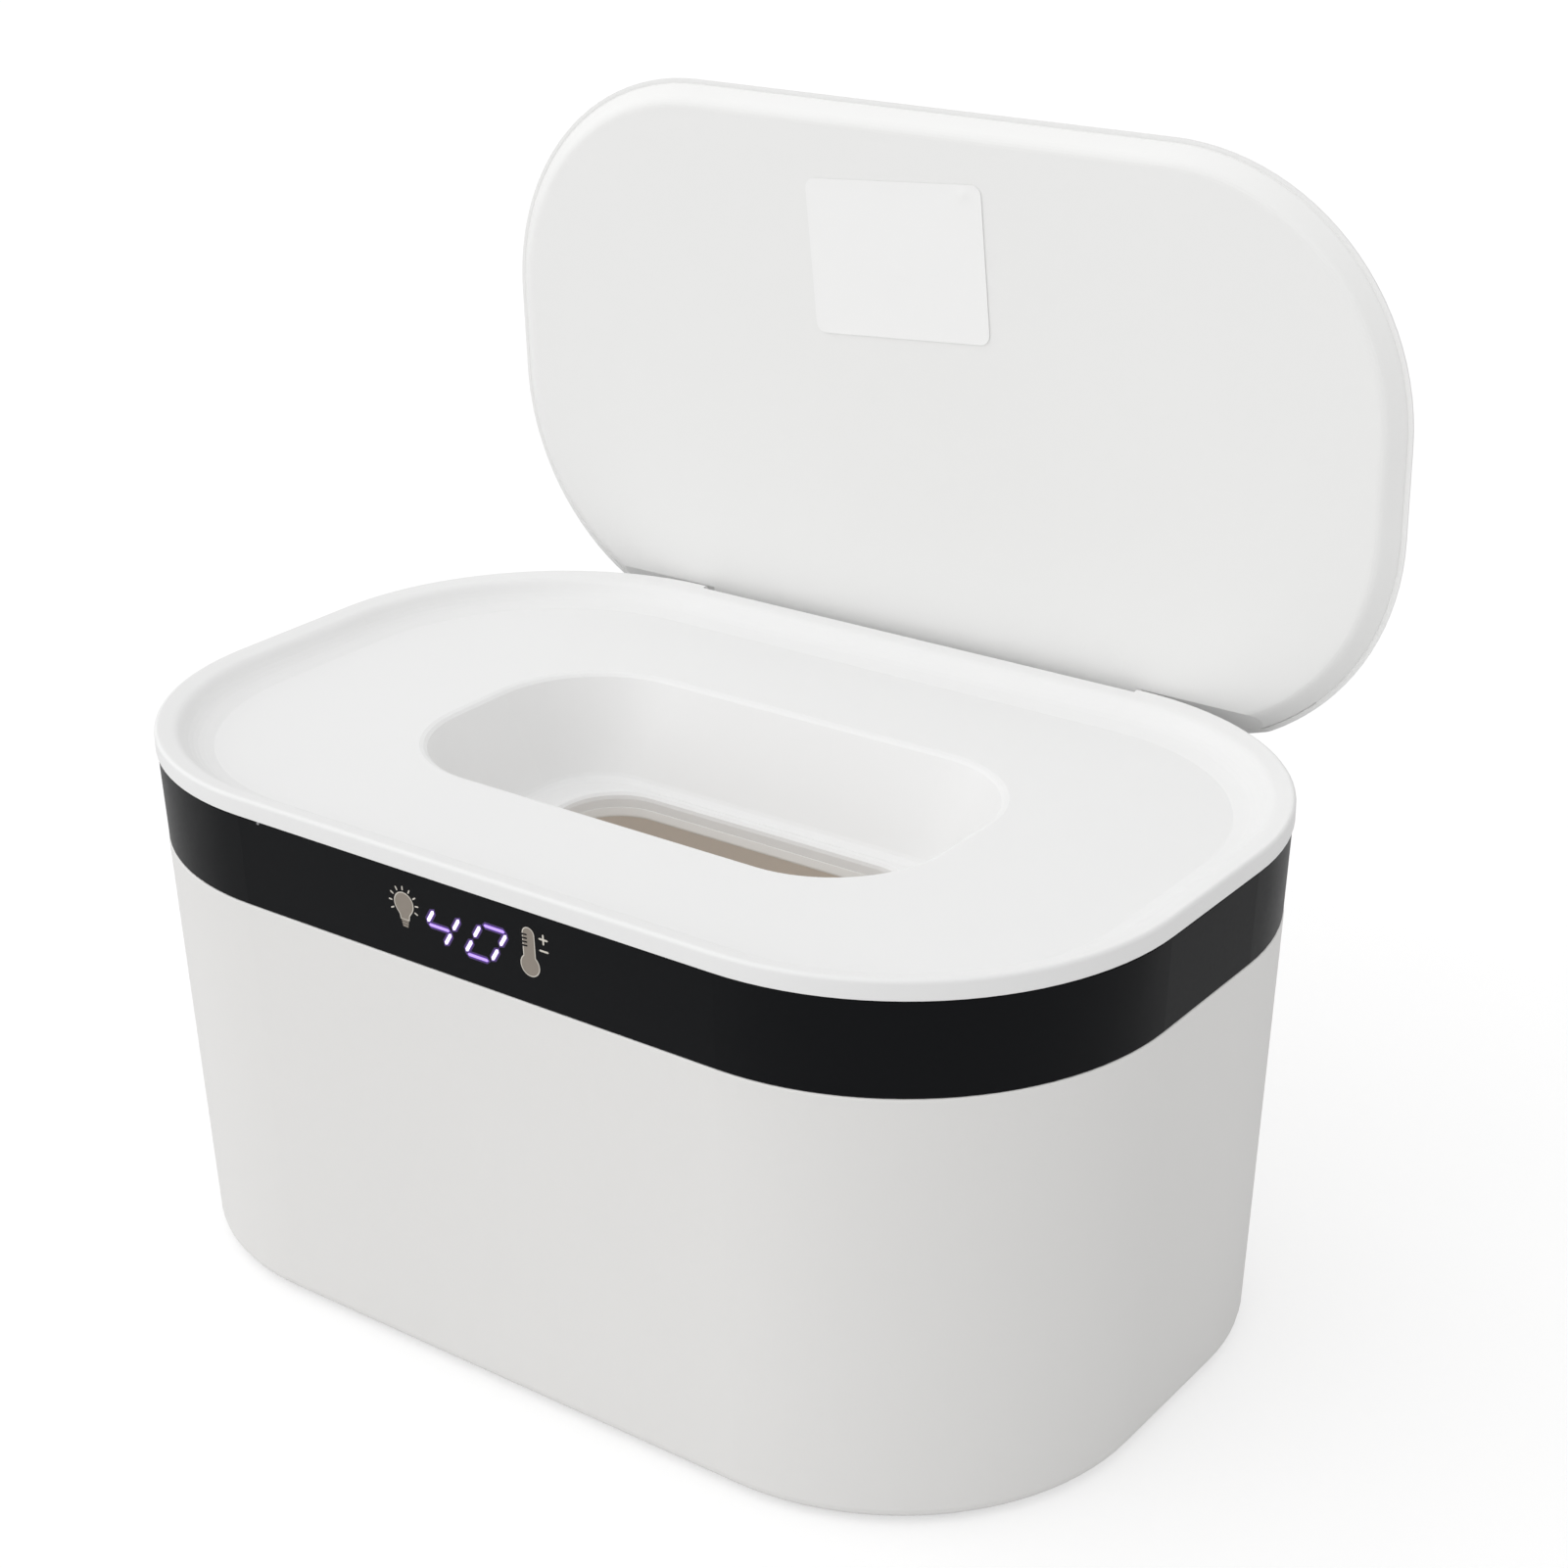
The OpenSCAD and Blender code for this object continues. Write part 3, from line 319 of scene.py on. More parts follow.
def edge_wear():
    """Mask of outer edges, broken up by noise, where handling has polished the surface."""
    tree, given, out = group_with(
        "Edge Wear", [("Amount", "NodeSocketFloat", 0.3)], [("Mask", "NodeSocketFloat")])
    place = tree.nodes.new("ShaderNodeTexCoord").outputs["Object"]
    patch = noise_node(tree, place, WEAR_SCALE, 3.0, 0.6)
    ramp = tree.nodes.new("ShaderNodeMapRange")
    ramp.inputs["From Min"].default_value, ramp.inputs["From Max"].default_value = EDGE_POINTINESS
    point = tree.nodes.new("ShaderNodeNewGeometry").outputs["Pointiness"]
    tree.links.new(point, ramp.inputs["Value"])
    mask = math_node(tree, "MULTIPLY", ramp.outputs[0], patch)
    mask = math_node(tree, "MULTIPLY", mask, given.outputs["Amount"], clamp=True)
    tree.links.new(mask, out.inputs["Mask"])
    return tree


def dust_specks():
    """Sparse pale specks of lint on dark or smooth plastic."""
    tree, given, out = group_with(
        "Dust Specks",
        [("Density", "NodeSocketFloat", 260.0), ("Size", "NodeSocketFloat", 0.10),
         ("Share", "NodeSocketFloat", 0.12)],
        [("Mask", "NodeSocketFloat")])
    place = tree.nodes.new("ShaderNodeTexCoord").outputs["Object"]
    cells = tree.nodes.new("ShaderNodeTexVoronoi")
    tree.links.new(place, cells.inputs["Vector"])
    tree.links.new(given.outputs["Density"], cells.inputs["Scale"])
    near = math_node(tree, "LESS_THAN", cells.outputs["Distance"], given.outputs["Size"])
    pick = tree.nodes.new("ShaderNodeSeparateColor")
    tree.links.new(cells.outputs["Color"], pick.inputs[0])
    chosen = math_node(tree, "LESS_THAN", pick.outputs[0], given.outputs["Share"])
    tree.links.new(math_node(tree, "MULTIPLY", near, chosen), out.inputs["Mask"])
    return tree


def place_group(material, name, build, **values):
    """A shader group placed in a material, built on first use, with its inputs set."""
    node = material.node_tree.nodes.new("ShaderNodeGroup")
    node.node_tree = bpy.data.node_groups.get(name) or build()
    for label, value in values.items():
        is_colour = isinstance(value, tuple)
        node.inputs[label.replace("_", " ")].default_value = (*value, 1.0) if is_colour else value
    return node


def finish(name, paint, roughness, drift=0.03, gloss_drift=0.06, grain=2400.0, bump=0.02,
           bump_depth=0.00008, ripple=0.0, wear=0.2, wear_lift=1.15, dust=0.0, metallic=0.0,
           coat=0.0, ior=1.5, specular=0.5, glow=0.0):
    """A moulded or metal finish: drifted colour, edge wear, dust and a fine bump."""
    made = bpy.data.materials.get(name)
    if made:
        return made
    material = bpy.data.materials.new(name)
    material.use_nodes = True
    tree = material.node_tree
    shader = tree.nodes["Principled BSDF"]
    for label, value in (("Metallic", metallic), ("Coat Weight", coat), ("IOR", ior),
                         ("Specular IOR Level", specular), ("Emission Strength", glow),
                         ("Emission Color", (1.0, 1.0, 1.0, 1.0))):
        shader.inputs[label].default_value = value
    body = place_group(material, "Moulded Texture", moulded_texture, Colour=tuple(paint),
                       Drift=drift, Roughness=roughness, Gloss_Drift=gloss_drift,
                       Grain_Size=grain, Ripple=ripple)
    worn = place_group(material, "Edge Wear", edge_wear, Amount=wear).outputs["Mask"]
    lifted = [min(1.0, c * wear_lift + WEAR_LIGHTER) for c in paint]
    paint_out = mix_colours(tree, worn, body.outputs["Colour"], lifted)
    if dust:
        speck = place_group(material, "Dust Specks", dust_specks, Share=dust).outputs["Mask"]
        cover = math_node(tree, "MULTIPLY", speck, DUST_COVER)
        paint_out = mix_colours(tree, cover, paint_out, DUST_COLOUR)
    tree.links.new(paint_out, shader.inputs["Base Color"])
    tree.links.new(body.outputs["Roughness"], shader.inputs["Roughness"])
    relief = tree.nodes.new("ShaderNodeBump")
    relief.inputs["Strength"].default_value = bump
    relief.inputs["Distance"].default_value = bump_depth
    tree.links.new(body.outputs["Height"], relief.inputs["Height"])
    tree.links.new(relief.outputs["Normal"], shader.inputs["Normal"])
    return material


def lamp(name, paint, strength):
    """A lit plastic surface whose light drifts a little from place to place."""
    material = bpy.data.materials.new(name)
    material.use_nodes = True
    tree = material.node_tree
    shader = tree.nodes["Principled BSDF"]
    shader.inputs["Base Color"].default_value = (*[c * LAMP_BODY for c in paint], 1.0)
    body = place_group(material, "Moulded Texture", moulded_texture, Colour=tuple(paint),
                       Drift=0.3, Roughness=LAMP_ROUGHNESS, Gloss_Drift=0.1,
                       Grain_Size=900.0, Ripple=0.0)
    tree.links.new(body.outputs["Colour"], shader.inputs["Emission Color"])
    tree.links.new(body.outputs["Roughness"], shader.inputs["Roughness"])
    shader.inputs["Emission Strength"].default_value = strength
    return material


# Shading of the meshes

def dress(node, material):
    """Gives a CAD node its finish and smooth shading across its curved faces."""
    obj = NODES[node]
    obj.data.materials.clear()
    obj.data.materials.append(material)
    smooth(obj, CREASE)


def smooth(obj, crease):
    """Smooth shading, with creases kept where faces meet more sharply than the angle."""
    mesh = obj.data
    mesh.polygons.foreach_set("use_smooth", [True] * len(mesh.polygons))
    shape = bmesh.new()
    shape.from_mesh(mesh)
    limit = math.radians(crease)
    sharp = [len(e.link_faces) != 2 or e.calc_face_angle(0.0) > limit for e in shape.edges]
    corners = area_normals(shape, sharp)
    shape.free()
    attribute = (mesh.attributes.get("sharp_edge")
                 or mesh.attributes.new("sharp_edge", "BOOLEAN", "EDGE"))
    attribute.data.foreach_set("value", sharp)
    mesh.normals_split_custom_set([corners[face.index, vert] for face in mesh.polygons
                                   for vert in face.vertices])


def area_normals(shape, sharp):
    """Corner normals weighted by area, so a wide flat face stays flat beside a rounded edge."""
    shape.faces.ensure_lookup_table()
    areas = [face.calc_area() for face in shape.faces]
    corners = {}
    for vert in shape.verts:
        left = set(vert.link_faces)
        while left:
            fan, ahead = [], [left.pop()]
            while ahead:
                face = ahead.pop()
                fan.append(face)
                for edge in vert.link_edges:
                    if sharp[edge.index] or face not in edge.link_faces:
                        continue
                    reached = left.intersection(edge.link_faces)
                    left -= reached
                    ahead += reached
            total = sum((face.normal * areas[face.index] for face in fan), Vector((0, 0, 0)))
            normal = total.normalized() if total.length > TINY_AREA else fan[0].normal
            for face in fan:
                corners[face.index, vert.index] = normal
    return corners


# Shapes drawn flat on the band or the lid

def arc(centre, radius, start, stop, steps):
    """Points of an arc, with angles in degrees."""
    turns = [math.radians(start + (stop - start) * i / steps) for i in range(steps + 1)]
    return [(centre[0] + radius * math.cos(a), centre[1] + radius * math.sin(a)) for a in turns]


def stroke(first, last, width):
    """Outline of a straight stroke with pointed ends."""
    a, b = Vector(first), Vector(last)
    along = (b - a).normalized()
    side = Vector((-along.y, along.x)) * width / 2
    end = along * width / 2
    flank = side * STROKE_TRIM
    return [tuple(p) for p in (a - end, a - flank, b - flank, b + end, b + flank, a + flank)]


def signed_area(outline):
    """Twice the area of an outline, positive when it runs anticlockwise."""
    return sum(a[0] * b[1] - b[0] * a[1] for a, b in zip(outline, outline[1:] + outline[:1]))


def into_scene(name, shape):
    """A scene object made from a bmesh, which is freed."""
    mesh = bpy.data.meshes.new(name)
    shape.to_mesh(mesh)
    shape.free()
    obj = bpy.data.objects.new(name, mesh)
    bpy.context.scene.collection.objects.link(obj)
    return obj


def raised(name, outlines, thickness, place):
    """Thin solids from flat outlines, each a hair thicker than the last.

    place maps (across, up, height) to a point."""
    shape = bmesh.new()
    for step, outline in enumerate(outlines):
        if signed_area(outline) < 0:
            outline = outline[::-1]
        top = thickness * (1 + LAYER_RISE * step)
        low = [shape.verts.new(place(x, z, 0.0)) for x, z in outline]
        high = [shape.verts.new(place(x, z, top)) for x, z in outline]
        shape.faces.new(low[::-1])
        shape.faces.new(high)
        for i in range(len(low)):
            j = (i + 1) % len(low)
            shape.faces.new((low[i], low[j], high[j], high[i]))
    bmesh.ops.recalc_face_normals(shape, faces=shape.faces)
    return into_scene(name, shape)


def on_band(x, z, height):
    """A point on the flat front of the band, x and z in metres, height off its face."""
    y = BAND_LOW.y + BAND_LEAN * (BAND_HIGH.z - z)
    out = Vector((0.0, -1.0, -BAND_LEAN)).normalized()
    return Vector((x, y, z)) + out * height


def grow(outline, by):
    """The outline moved outwards by a fixed distance."""
    sign = 1 if signed_area(outline) > 0 else -1
    grown = []
    for i, point in enumerate(outline):
        here = Vector(point)
        first = here - Vector(outline[i - 1])
        second = Vector(outline[(i + 1) % len(outline)]) - here
        if first.length < TINY_LENGTH or second.length < TINY_LENGTH:
            grown.append(point)
            continue
        first.normalize()
        second.normalize()
        normal = (Vector((first.y + second.y, -first.x - second.x)) * sign).normalized()
        lean = max(MITRE_LIMIT, normal.dot(Vector((first.y, -first.x)) * sign))
        grown.append(tuple(here + normal * by / lean))
    return grown


def bulb_outline():
    """The light bulb's glass and neck, in millimetres about the middle of the glass."""
    return arc((0, 0), BULB_RADIUS, *BULB_SWEEP) + BULB_NECK


def bulb_cap():
    """Screw turns under the bulb's glass, each narrower than the one above."""
    return [[(x - math.copysign(CAP_TAPER * i, x), z - CAP_PITCH * i) for x, z in CAP_TURN]
            for i in range(CAP_COUNT)]


def bulb_rays():
    """Short rays round the bulb's glass."""
    rays = []
    for i in range(RAY_COUNT):
        turn = math.radians(RAY_FIRST + RAY_STEP * i)
        c, s = math.cos(turn), math.sin(turn)
        rays.append(stroke((c * RAY_FROM, s * RAY_FROM), (c * RAY_TO, s * RAY_TO), RAY_WIDTH))
    return rays


def thermometer_outline():
    """The thermometer's stem and bulb, in millimetres about the middle of its bulb."""
    return (arc(STEM_TOP, STEM_RADIUS, *STEM_SWEEP)
            + arc((0, 0), RESERVOIR_RADIUS, *RESERVOIR_SWEEP))


def thermometer_ticks():
    """Scale marks across the left of the thermometer's stem."""
    return [stroke((TICK_FROM[0], TICK_FROM[1] - TICK_PITCH * i),
                   (TICK_TO[0], TICK_TO[1] - TICK_PITCH * i), TICK_WIDTH)
            for i in range(TICK_COUNT)]


def digit_strokes(segments, height, width, slant):
    """Seven-segment strokes of one digit, each as its two ends and whether it is upright."""
    h, w, inset, gap = height / 2, width / 2, SEGMENT_INSET, SEGMENT_GAP
    ends = {
        "top": ((-w + inset, h), (w - inset, h)),
        "middle": ((-w + inset, 0), (w - inset, 0)),
        "bottom": ((-w + inset, -h), (w - inset, -h)),
        "upper left": ((-w, gap), (-w, h - gap)),
        "upper right": ((w, gap), (w, h - gap)),
        "lower left": ((-w, -h + gap), (-w, -gap)),
        "lower right": ((w, -h + gap), (w, -gap)),
    }
    return [(tuple((x + slant * z, z) for x, z in ends[name]), "left" in name or "right" in name)
            for name in segments]


def hinge_turn(turn):
    """A turn of the lid about its hinge axis, towards shut when positive."""
    return (Matrix.Translation(HINGE_AT) @ Matrix.Rotation(turn, 4, "X")
            @ Matrix.Translation(-HINGE_AT))


def panel_height():
    """Height of the raised inner panel's face when the lid is shut."""
    turn = hinge_turn(LID_SWING)
    return min((turn @ v.co).z for v in NODES["lid_inner_panel"].data.vertices)


PANEL_Z = panel_height()


def on_lid(x, reach, height):
    """A point of the open lid: across, out from the hinge axis, and off the inner panel."""
    return hinge_turn(-LID_SWING) @ Vector((x, HINGE_AT.y - reach, PANEL_Z - height))


def on_weld(x, reach, height):
    """A point in the seam between the lid's cover and its inner panel."""
    return on_lid(x, reach, height - WELD_DOWN)


def lid_path(inset):
    """The lid's outline from one side of the hinge round to the other, as (across, reach)."""
    points = []
    for side, row, first, last in LID_SWEEPS:
        centre = (side * (LID_HALF[0] - LID_CORNER), LID_MIDDLE + row * (LID_HALF[1] - LID_CORNER))
        points += arc(centre, LID_CORNER - inset, first, last, CORNER_STEPS)
    return [(x * MM, z * MM) for x, z in points]


def gate_outline():
    """A fine half ring, left where the plastic was let into the panel's mould."""
    outer, inner = GATE_RADII
    first, last = GATE_SWEEP
    points = (arc(GATE_AT, outer, first, last, CORNER_STEPS)
              + arc(GATE_AT, inner, last, first, CORNER_STEPS))
    return [(x * MM, z * MM) for x, z in points]


# Finishes

STOCK = {
    "Silicone White": dict(paint=(0.84, 0.83, 0.81), roughness=0.55, drift=0.05, grain=1900.0,
                           bump=0.06),
    "Zinc Steel": dict(paint=(0.60, 0.61, 0.63), roughness=0.32, drift=0.08, gloss_drift=0.2,
                       grain=3200.0, bump=0.1, metallic=1.0, wear=0.5, wear_lift=1.2),
    "Mill Aluminium": dict(paint=(0.78, 0.79, 0.80), roughness=0.38, drift=0.05, gloss_drift=0.2,
                           grain=2600.0, bump=0.08, metallic=1.0),
    "Grey Foam": dict(paint=(0.20, 0.205, 0.215), roughness=0.9, drift=0.2, grain=1100.0,
                      bump=0.7, bump_depth=0.0006, wear=0.0),
    "Black Nylon": dict(paint=(0.02, 0.02, 0.022), roughness=0.42, drift=0.15, grain=1900.0,
                        bump=0.12),
    "Solder Green": dict(paint=(0.02, 0.16, 0.06), roughness=0.28, drift=0.12, grain=700.0,
                         bump=0.05, coat=0.3),
    "Amber Film": dict(paint=(0.42, 0.17, 0.04), roughness=0.25, drift=0.15, grain=300.0,
                       bump=0.05, coat=0.2),
    "Pale Ceramic": dict(paint=(0.70, 0.66, 0.56), roughness=0.5, drift=0.08, grain=1400.0,
                         bump=0.08),
    "Lead Jacket": dict(paint=(0.55, 0.10, 0.08), roughness=0.5, drift=0.08, grain=1500.0,
                        bump=0.05),
    "Cable Jacket": dict(paint=(0.60, 0.60, 0.58), roughness=0.5, drift=0.08, grain=1500.0,
                         bump=0.05),
    "Diffuser White": dict(paint=(0.80, 0.74, 0.56), roughness=0.35, drift=0.05, grain=1200.0,
                           bump=0.03),
}


def stock(name):
    """A finish with fixed values."""
    return finish(name, **STOCK[name])


def plastics():
    """The settings of the moulded parts."""
    return bpy.context.scene.warmer_plastics


def casing_white():
    p = plastics()
    return finish("Casing White", p.casing, p.casing_gloss, drift=0.035, gloss_drift=0.10,
                  grain=2300.0, bump=0.16, bump_depth=0.0001, wear=0.25, wear_lift=1.06)


def satin(name, paint):
    """The smooth white plastic of the dispensing top and the lid."""
    return finish(name, paint, plastics().top_gloss, drift=0.02, gloss_drift=0.06, grain=1700.0,
                  bump=0.035, bump_depth=0.0001, ripple=3.0, wear=0.2, wear_lift=1.05)


# Painted light: the top's satin plastic in the lid's lighter colour, for the extra light the lid
# catches
def lid_white_painted_lighter():
    return satin("Lid White Painted Lighter", plastics().lid)


def band_black():
    p = plastics()
    return finish("Band Black", p.band, p.band_gloss, drift=0.25, gloss_drift=0.08, grain=900.0,
                  bump=0.02, bump_depth=0.0001, wear=0.15, wear_lift=2.0, dust=0.05,
                  ior=1.4, specular=0.10)


def tank_tan():
    p = plastics()
    # The tank's glow is painted light, lightening its shaded inside
    return finish("Tank Tan", p.tank, 0.5, drift=0.06, grain=1500.0, bump=0.08, wear=0.1,
                  glow=p.tank_painted_glow)


def black_rubber():
    return finish("Black Rubber", plastics().rubber, 0.7, drift=0.15, grain=2100.0, bump=0.2)


# Operators

class Piece:
    """What every operator here shares"""
    bl_options = {"REGISTER"}


class WARMER_OT_casing(Piece, bpy.types.Operator):
    """Finish the casing, its base cover, feet and screws"""
    bl_idname = "warmer.casing"
    bl_label = "Casing"

    def execute(self, context):
        dress("casing_shell", casing_white())
        dress("base_cover", casing_white())
        dress("rubber_feet", black_rubber())
        for screws in ("base_screws", "board_screws", "display_screws", "clamp_screws"):
            dress(screws, stock("Zinc Steel"))
        return {"FINISHED"}


class WARMER_OT_band(Piece, bpy.types.Operator):
    """Finish the dark touch band"""
    bl_idname = "warmer.band"
    bl_label = "Touch Band"

    def execute(self, context):
        dress("dark_band", band_black())
        return {"FINISHED"}


class WARMER_OT_marks(Piece, bpy.types.Operator):
    """Draw the bulb, the lit digits, the thermometer and the plus and minus on the band"""
    bl_idname = "warmer.marks"
    bl_label = "Band Marks"

    def mark(self, name, outlines, thickness, material, at):
        """One mark standing on the band, its outlines in millimetres about a place on it."""
        moved = [[((x + at[0]) * MM, (z + at[1]) * MM) for x, z in outline]
                 for outline in outlines]
        obj = raised(name, moved, thickness, on_band)
        obj.data.materials.append(material)
        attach(obj, "casing")
        return obj

    def execute(self, context):
        marks = context.scene.warmer_marks
        taupe = finish("Printed Taupe", marks.print_colour, 0.38, drift=0.25, gloss_drift=0.2,
                       grain=1400.0, bump=0.15, metallic=0.35, wear=0.0)
        line = finish("Printed Line", marks.edge_colour, 0.35, drift=0.1, grain=1400.0,
                      bump=0.1, metallic=0.35, wear=0.0)
        bulb, meter = bulb_outline(), thermometer_outline()
        level = stroke((-PLUS_HALF, 0), (PLUS_HALF, 0), PLUS_WIDTH)
        upright = stroke((0, -PLUS_HALF), (0, PLUS_HALF), PLUS_WIDTH)
        printed = (
            ("bulb_mark", [bulb] + bulb_cap(), 1.0, taupe, BULB_AT),
            ("bulb_line", [grow(bulb, LINE_WIDTH)], LINE_RISE, line, BULB_AT),
            ("bulb_rays", bulb_rays(), 1.0, line, BULB_AT),
            ("thermometer_mark", [meter], 1.0, taupe, METER_AT),
            ("thermometer_line", [grow(meter, LINE_WIDTH)], LINE_RISE, line, METER_AT),
            ("thermometer_ticks", thermometer_ticks(), TICK_RISE, band_black(), METER_AT),
            ("plus_mark", [level, upright], 1.0, line, PLUS_AT),
            ("minus_mark", [level], 1.0, line, MINUS_AT),
        )
        for name, outlines, rise, material, at in printed:
            self.mark(name, outlines, marks.relief * rise, material, at)
        self.digits(marks)
        return {"FINISHED"}

    def digits(self, marks):
        """The lit strokes, with a glow and a wider, weaker halo behind them."""
        pale = lamp("Digit Light", marks.lit_colour, LIT_POWER)
        violet = lamp("Digit Violet", marks.violet_colour, VIOLET_POWER)
        glow = lamp("Digit Glow", marks.glow_colour, GLOW_POWER)
        halo = lamp("Digit Halo", tuple(c * HALO_SHADE for c in marks.glow_colour), HALO_POWER)
        height, width, size = (v / MM for v in (marks.digit_height, marks.digit_width,
                                                marks.digit_stroke))
        strokes = [((a[0] + at[0], a[1] + at[1]), (b[0] + at[0], b[1] + at[1]), upright)
                   for at, segments in DIGITS
                   for (a, b), upright in digit_strokes(segments, height, width,
                                                        marks.digit_slant)]
        # Name, which strokes it takes, extra width, share of the relief, finish
        layers = (("digit_uprights", (True,), 0.0, 1.0, pale),
                  ("digit_levels", (False,), 0.0, 1.0, violet),
                  ("digit_glow", (True, False), GLOW_EXTRA, GLOW_RISE, glow),
                  ("digit_halo", (True, False), HALO_EXTRA, HALO_RISE, halo))
        for name, wanted, extra, rise, material in layers:
            shapes = [stroke(a, b, size * (1.0 if upright else LEVEL_WIDTH) + extra)
                      for a, b, upright in strokes if upright in wanted]
            self.mark(name, shapes, marks.relief * rise, material, (0.0, 0.0))


class WARMER_OT_dispensing_top(Piece, bpy.types.Operator):
    """Finish the lift-off dispensing top, its slot liner, seal and hinge pins"""
    bl_idname = "warmer.dispensing_top"
    bl_label = "Dispensing Top"

    def execute(self, context):
        dress("dispensing_top", satin("Satin White", plastics().top))
        dress("slot_liner", stock("Silicone White"))
        dress("tank_seal", stock("Silicone White"))
        dress("hinge_pins", stock("Zinc Steel"))
        return {"FINISHED"}


class WARMER_OT_lid(Piece, bpy.types.Operator):
    """Finish the lid's outer cover and inner panel, with its weld line and gate mark"""
    bl_idname = "warmer.lid"
    bl_label = "Lid"

    def execute(self, context):
        dress("lid_cover", lid_white_painted_lighter())
        dress("lid_inner_panel", lid_white_painted_lighter())
        outer, inner = (lid_path(inset) for inset in WELD_INSETS)
        weld = raised("lid_weld_line", [outer + inner[::-1]], WELD_THICK, on_weld)
        gate = raised("lid_gate_mark", [gate_outline()], GATE_THICK, on_lid)
        for piece in (weld, gate):
            piece.data.materials.append(lid_white_painted_lighter())
            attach(piece, "lid")
        return {"FINISHED"}


class WARMER_OT_sticker(Piece, bpy.types.Operator):
    """Lay the blank sticker, with its small blister and crease, on the lid's inner panel"""
    bl_idname = "warmer.sticker"
    bl_label = "Lid Sticker"

    def execute(self, context):
        s = context.scene.warmer_sticker
        shape = bmesh.new()
        top, low = (self.sheet(shape, s, rise) for rise in (PAPER_ABOVE, -PAPER_BELOW))
        columns, rows = STICKER_GRID
        for grid, way in ((top, 1), (low, -1)):
            for j in range(rows):
                for i in range(columns):
                    face = (grid[j][i], grid[j][i + 1], grid[j + 1][i + 1], grid[j + 1][i])
                    shape.faces.new(face[::way])
        rim = ([(0, i) for i in range(columns)] + [(j, columns) for j in range(rows)]
               + [(rows, i) for i in range(columns, 0, -1)] + [(j, 0) for j in range(rows, 0, -1)])
        for (a, b), (c, d) in zip(rim, rim[1:] + rim[:1]):
            shape.faces.new((top[a][b], low[a][b], low[c][d], top[c][d]))
        bmesh.ops.recalc_face_normals(shape, faces=shape.faces)
        sticker = into_scene("lid_sticker", shape)
        sticker.data.materials.append(
            finish("Sticker Paper", s.paper, 0.30, drift=0.03, gloss_drift=0.05, grain=1300.0,
                   bump=0.05, coat=0.25, wear=0.2, wear_lift=0.95))
        smooth(sticker, STICKER_CREASE)
        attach(sticker, "lid")
        return {"FINISHED"}

    def sheet(self, shape, s, above):
        """One side of the paper as rows of vertices."""
        columns, rows = STICKER_GRID
        turn = Matrix.Rotation(s.turn, 2)
        grid = []
        for j in range(rows + 1):
            row = []
            for i in range(columns + 1):
                x, y = self.rounded(s, 2 * i / columns - 1, 2 * j / rows - 1)
                spot = turn @ Vector((x, y))
                height = self.paper_height(s, x, y) + above
                row.append(shape.verts.new(
                    on_lid(s.across + spot.x, s.from_hinge + spot.y, height)))
            grid.append(row)
        return grid

    def rounded(self, s, u, v):
        """A grid point, from -1 to 1 each way, pulled inside the rounded corners."""
        half_w, half_h = s.width / 2, s.height / 2
        x, y = u * half_w, v * half_h
        inner_x, inner_y = half_w - s.corner, half_h - s.corner
        over = Vector((max(0.0, abs(x) - inner_x), max(0.0, abs(y) - inner_y)))
        if over.x > 0 and over.y > 0:
            share = max(over.x, over.y) / over.length
            x = math.copysign(inner_x + over.x * share, x)
            y = math.copysign(inner_y + over.y * share, y)
        return x, y

    def paper_height(self, s, x, y):
        """Height of the paper: a blister near one corner, a crease and slightly lifted edges."""
        blister = BLISTER_HIGH * math.exp(-(((x - BLISTER_AT[0]) / BLISTER_WIDE) ** 2
                                            + ((y - BLISTER_AT[1]) / BLISTER_WIDE) ** 2))
        from_x, from_y = x - CREASE_AT[0], y - CREASE_AT[1]
        off = from_x * CREASE_WAY[0] + from_y * CREASE_WAY[1]
        along = from_x * CREASE_WAY[1] - from_y * CREASE_WAY[0]
        crease = CREASE_HIGH * math.exp(-(off / CREASE_WIDE) ** 2 - (along / CREASE_LONG) ** 2)
        edge = EDGE_LIFT * max(abs(x) / (s.width / 2), abs(y) / (s.height / 2)) ** EDGE_POWER
        return PAPER_OFF + blister + crease + edge


class WARMER_OT_tank(Piece, bpy.types.Operator):
    """Finish the tank with its insulation and heater"""
    bl_idname = "warmer.tank"
    bl_label = "Tank and Heater"

    def execute(self, context):
        dress("tank", tank_tan())
        for node, name in (
                ("insulation_sleeve", "Grey Foam"), ("floor_insulation", "Grey Foam"),
                ("heater_plate", "Mill Aluminium"), ("heater_mat", "Amber Film"),
                ("heater_clamp", "Zinc Steel"), ("thermal_fuse", "Pale Ceramic"),
                ("temperature_sensor", "Black Nylon"), ("heater_leads", "Lead Jacket")):
            dress(node, stock(name))
        return {"FINISHED"}


class WARMER_OT_electronics(Piece, bpy.types.Operator):
    """Finish the boards, the display module, the touch pads and the power socket"""
    bl_idname = "warmer.electronics"
    bl_label = "Electronics"

    def execute(self, context):
        for board in ("main_board", "display_board"):
            dress(board, stock("Solder Green"))
        for block in ("board_components", "power_socket", "touch_pads", "digit_display"):
            dress(block, stock("Black Nylon"))
        dress("night_light_leds", stock("Diffuser White"))
        dress("display_cable", stock("Cable Jacket"))
        return {"FINISHED"}


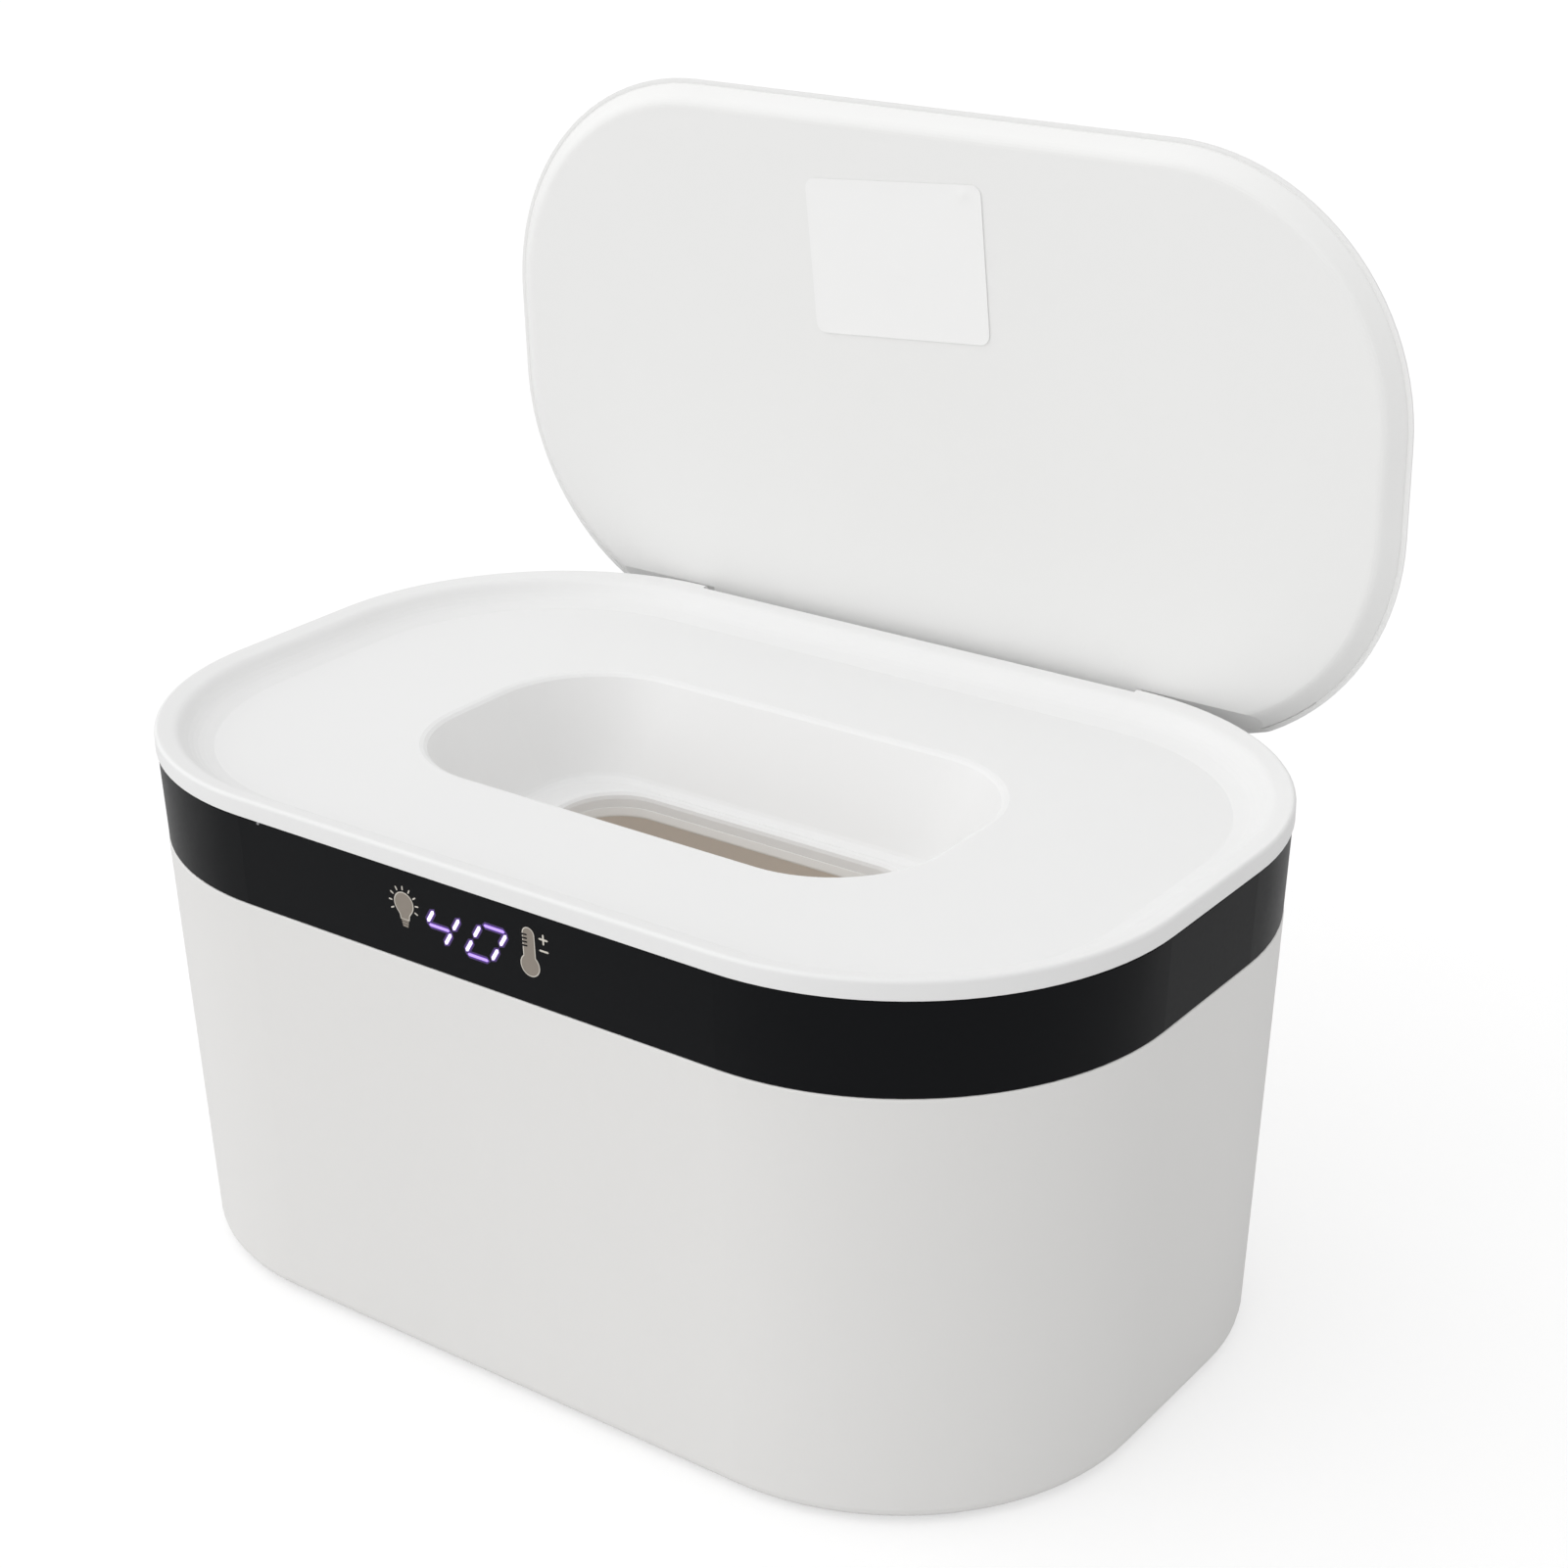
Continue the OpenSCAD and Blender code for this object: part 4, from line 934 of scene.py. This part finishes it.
class WARMER_OT_studio(Piece, bpy.types.Operator):
    """Lay the pale floor, hang the soft lights and set the camera at the photograph's angle"""
    bl_idname = "warmer.studio"
    bl_label = "Studio"

    def execute(self, context):
        scene = context.scene
        s = scene.warmer_studio
        shape = bmesh.new()
        corners = [(-FLOOR_HALF, -FLOOR_HALF), (FLOOR_HALF, -FLOOR_HALF),
                   (FLOOR_HALF, FLOOR_HALF), (-FLOOR_HALF, FLOOR_HALF)]
        shape.faces.new([shape.verts.new((x, y, FLOOR_Z)) for x, y in corners])
        floor = into_scene("floor", shape)
        floor.data.materials.append(self.floor_finish(s))
        scene.world = self.surround(s)

        key = bpy.data.lights.new("key_light", "SUN")
        key.energy = s.key_strength
        key.angle = s.key_spread
        stand = bpy.data.objects.new("key_light", key)
        stand.matrix_world = (Matrix.Rotation(-s.key_turn, 4, "Z")
                              @ Matrix.Rotation(s.key_tilt, 4, "X"))
        scene.collection.objects.link(stand)

        seat = self.camera(s)
        scene.collection.objects.link(seat)
        scene.camera = seat
        scene.view_settings.view_transform = "Standard"
        return {"FINISHED"}

    def floor_finish(self, s):
        """Pale floor that gives off its own light, and is clear from below."""
        material = finish("Studio Floor", s.floor, 0.6, drift=0.004, gloss_drift=0.02,
                          grain=400.0, bump=0.01, wear=0.0, specular=0.1)
        tree = material.node_tree
        shader = tree.nodes["Principled BSDF"]
        seen = tree.nodes.new("ShaderNodeLightPath").outputs["Is Camera Ray"]
        glow = math_node(tree, "MULTIPLY", seen, s.floor_glow - s.floor_bounce)
        glow = math_node(tree, "ADD", glow, s.floor_bounce)
        tree.links.new(glow, shader.inputs["Emission Strength"])
        sides = tree.nodes.new("ShaderNodeMixShader")
        behind = tree.nodes.new("ShaderNodeNewGeometry").outputs["Backfacing"]
        clear = tree.nodes.new("ShaderNodeBsdfTransparent")
        tree.links.new(behind, sides.inputs[0])
        tree.links.new(shader.outputs[0], sides.inputs[1])
        tree.links.new(clear.outputs[0], sides.inputs[2])
        tree.links.new(sides.outputs[0], tree.nodes["Material Output"].inputs["Surface"])
        return material

    def surround(self, s):
        """A soft surround that is brighter to one side, and plain white to the camera."""
        world = bpy.data.worlds.new("Surround")
        world.use_nodes = True
        tree = world.node_tree
        backdrop = tree.nodes["Background"]
        backdrop.inputs["Color"].default_value = (1.0, 1.0, 1.0, 1.0)
        lean = tree.nodes.new("ShaderNodeVectorMath")
        lean.operation = "DOT_PRODUCT"
        lean.inputs[1].default_value = s.sky_lean
        way = tree.nodes.new("ShaderNodeTexCoord").outputs["Generated"]
        tree.links.new(way, lean.inputs[0])
        bright = math_node(tree, "ADD", lean.outputs["Value"], s.sky)
        seen = tree.nodes.new("ShaderNodeLightPath").outputs["Is Camera Ray"]
        tree.links.new(math_node(tree, "MAXIMUM", bright, seen), backdrop.inputs["Strength"])
        return world

    def camera(self, s):
        """The camera, at the place and angle solved from the photograph."""
        camera = bpy.data.cameras.new("camera")
        camera.lens = s.lens
        camera.sensor_width = SENSOR_WIDTH
        camera.clip_start, camera.clip_end = CAMERA_CLIP
        azimuth, elevation, roll = (math.radians(a) for a in CAMERA_TURN)
        ahead = Vector((-math.sin(azimuth) * math.cos(elevation),
                        math.cos(azimuth) * math.cos(elevation), -math.sin(elevation)))
        right = Vector((math.cos(azimuth), math.sin(azimuth), 0.0))
        above = right.cross(ahead)
        across = right * math.cos(roll) + above * math.sin(roll)
        upward = above * math.cos(roll) - right * math.sin(roll)
        seat = bpy.data.objects.new("camera", camera)
        seat.matrix_world = (Matrix.Translation(CAMERA_AT)
                             @ Matrix((across, upward, -ahead)).transposed().to_4x4())
        return seat


class WARMER_PT_studio(bpy.types.Panel):
    """Sidebar panel that lists the steps and their settings"""
    bl_idname = "WARMER_PT_studio"
    bl_label = "Wipe Warmer"
    bl_space_type = "VIEW_3D"
    bl_region_type = "UI"
    bl_category = "Wipe Warmer"

    def draw(self, context):
        for step in STEPS:
            self.layout.operator(step.bl_idname)
        for name, group in GROUPS.items():
            box = self.layout.box()
            box.label(text=group.__doc__)
            for field in group.__annotations__:
                box.prop(getattr(context.scene, name), field)


STEPS = (WARMER_OT_casing, WARMER_OT_band, WARMER_OT_marks, WARMER_OT_dispensing_top,
         WARMER_OT_lid, WARMER_OT_sticker, WARMER_OT_tank, WARMER_OT_electronics,
         WARMER_OT_studio)


def register():
    for cls in (*GROUPS.values(), *STEPS, WARMER_PT_studio):
        bpy.utils.register_class(cls)
    for name, group in GROUPS.items():
        setattr(bpy.types.Scene, name, PointerProperty(type=group))


def unregister():
    for name in GROUPS:
        delattr(bpy.types.Scene, name)
    for cls in reversed((*GROUPS.values(), *STEPS, WARMER_PT_studio)):
        bpy.utils.unregister_class(cls)


def main():
    register()
    for step in STEPS:
        family, name = step.bl_idname.split(".")
        getattr(getattr(bpy.ops, family), name)()


if __name__ == "__main__":
    main()
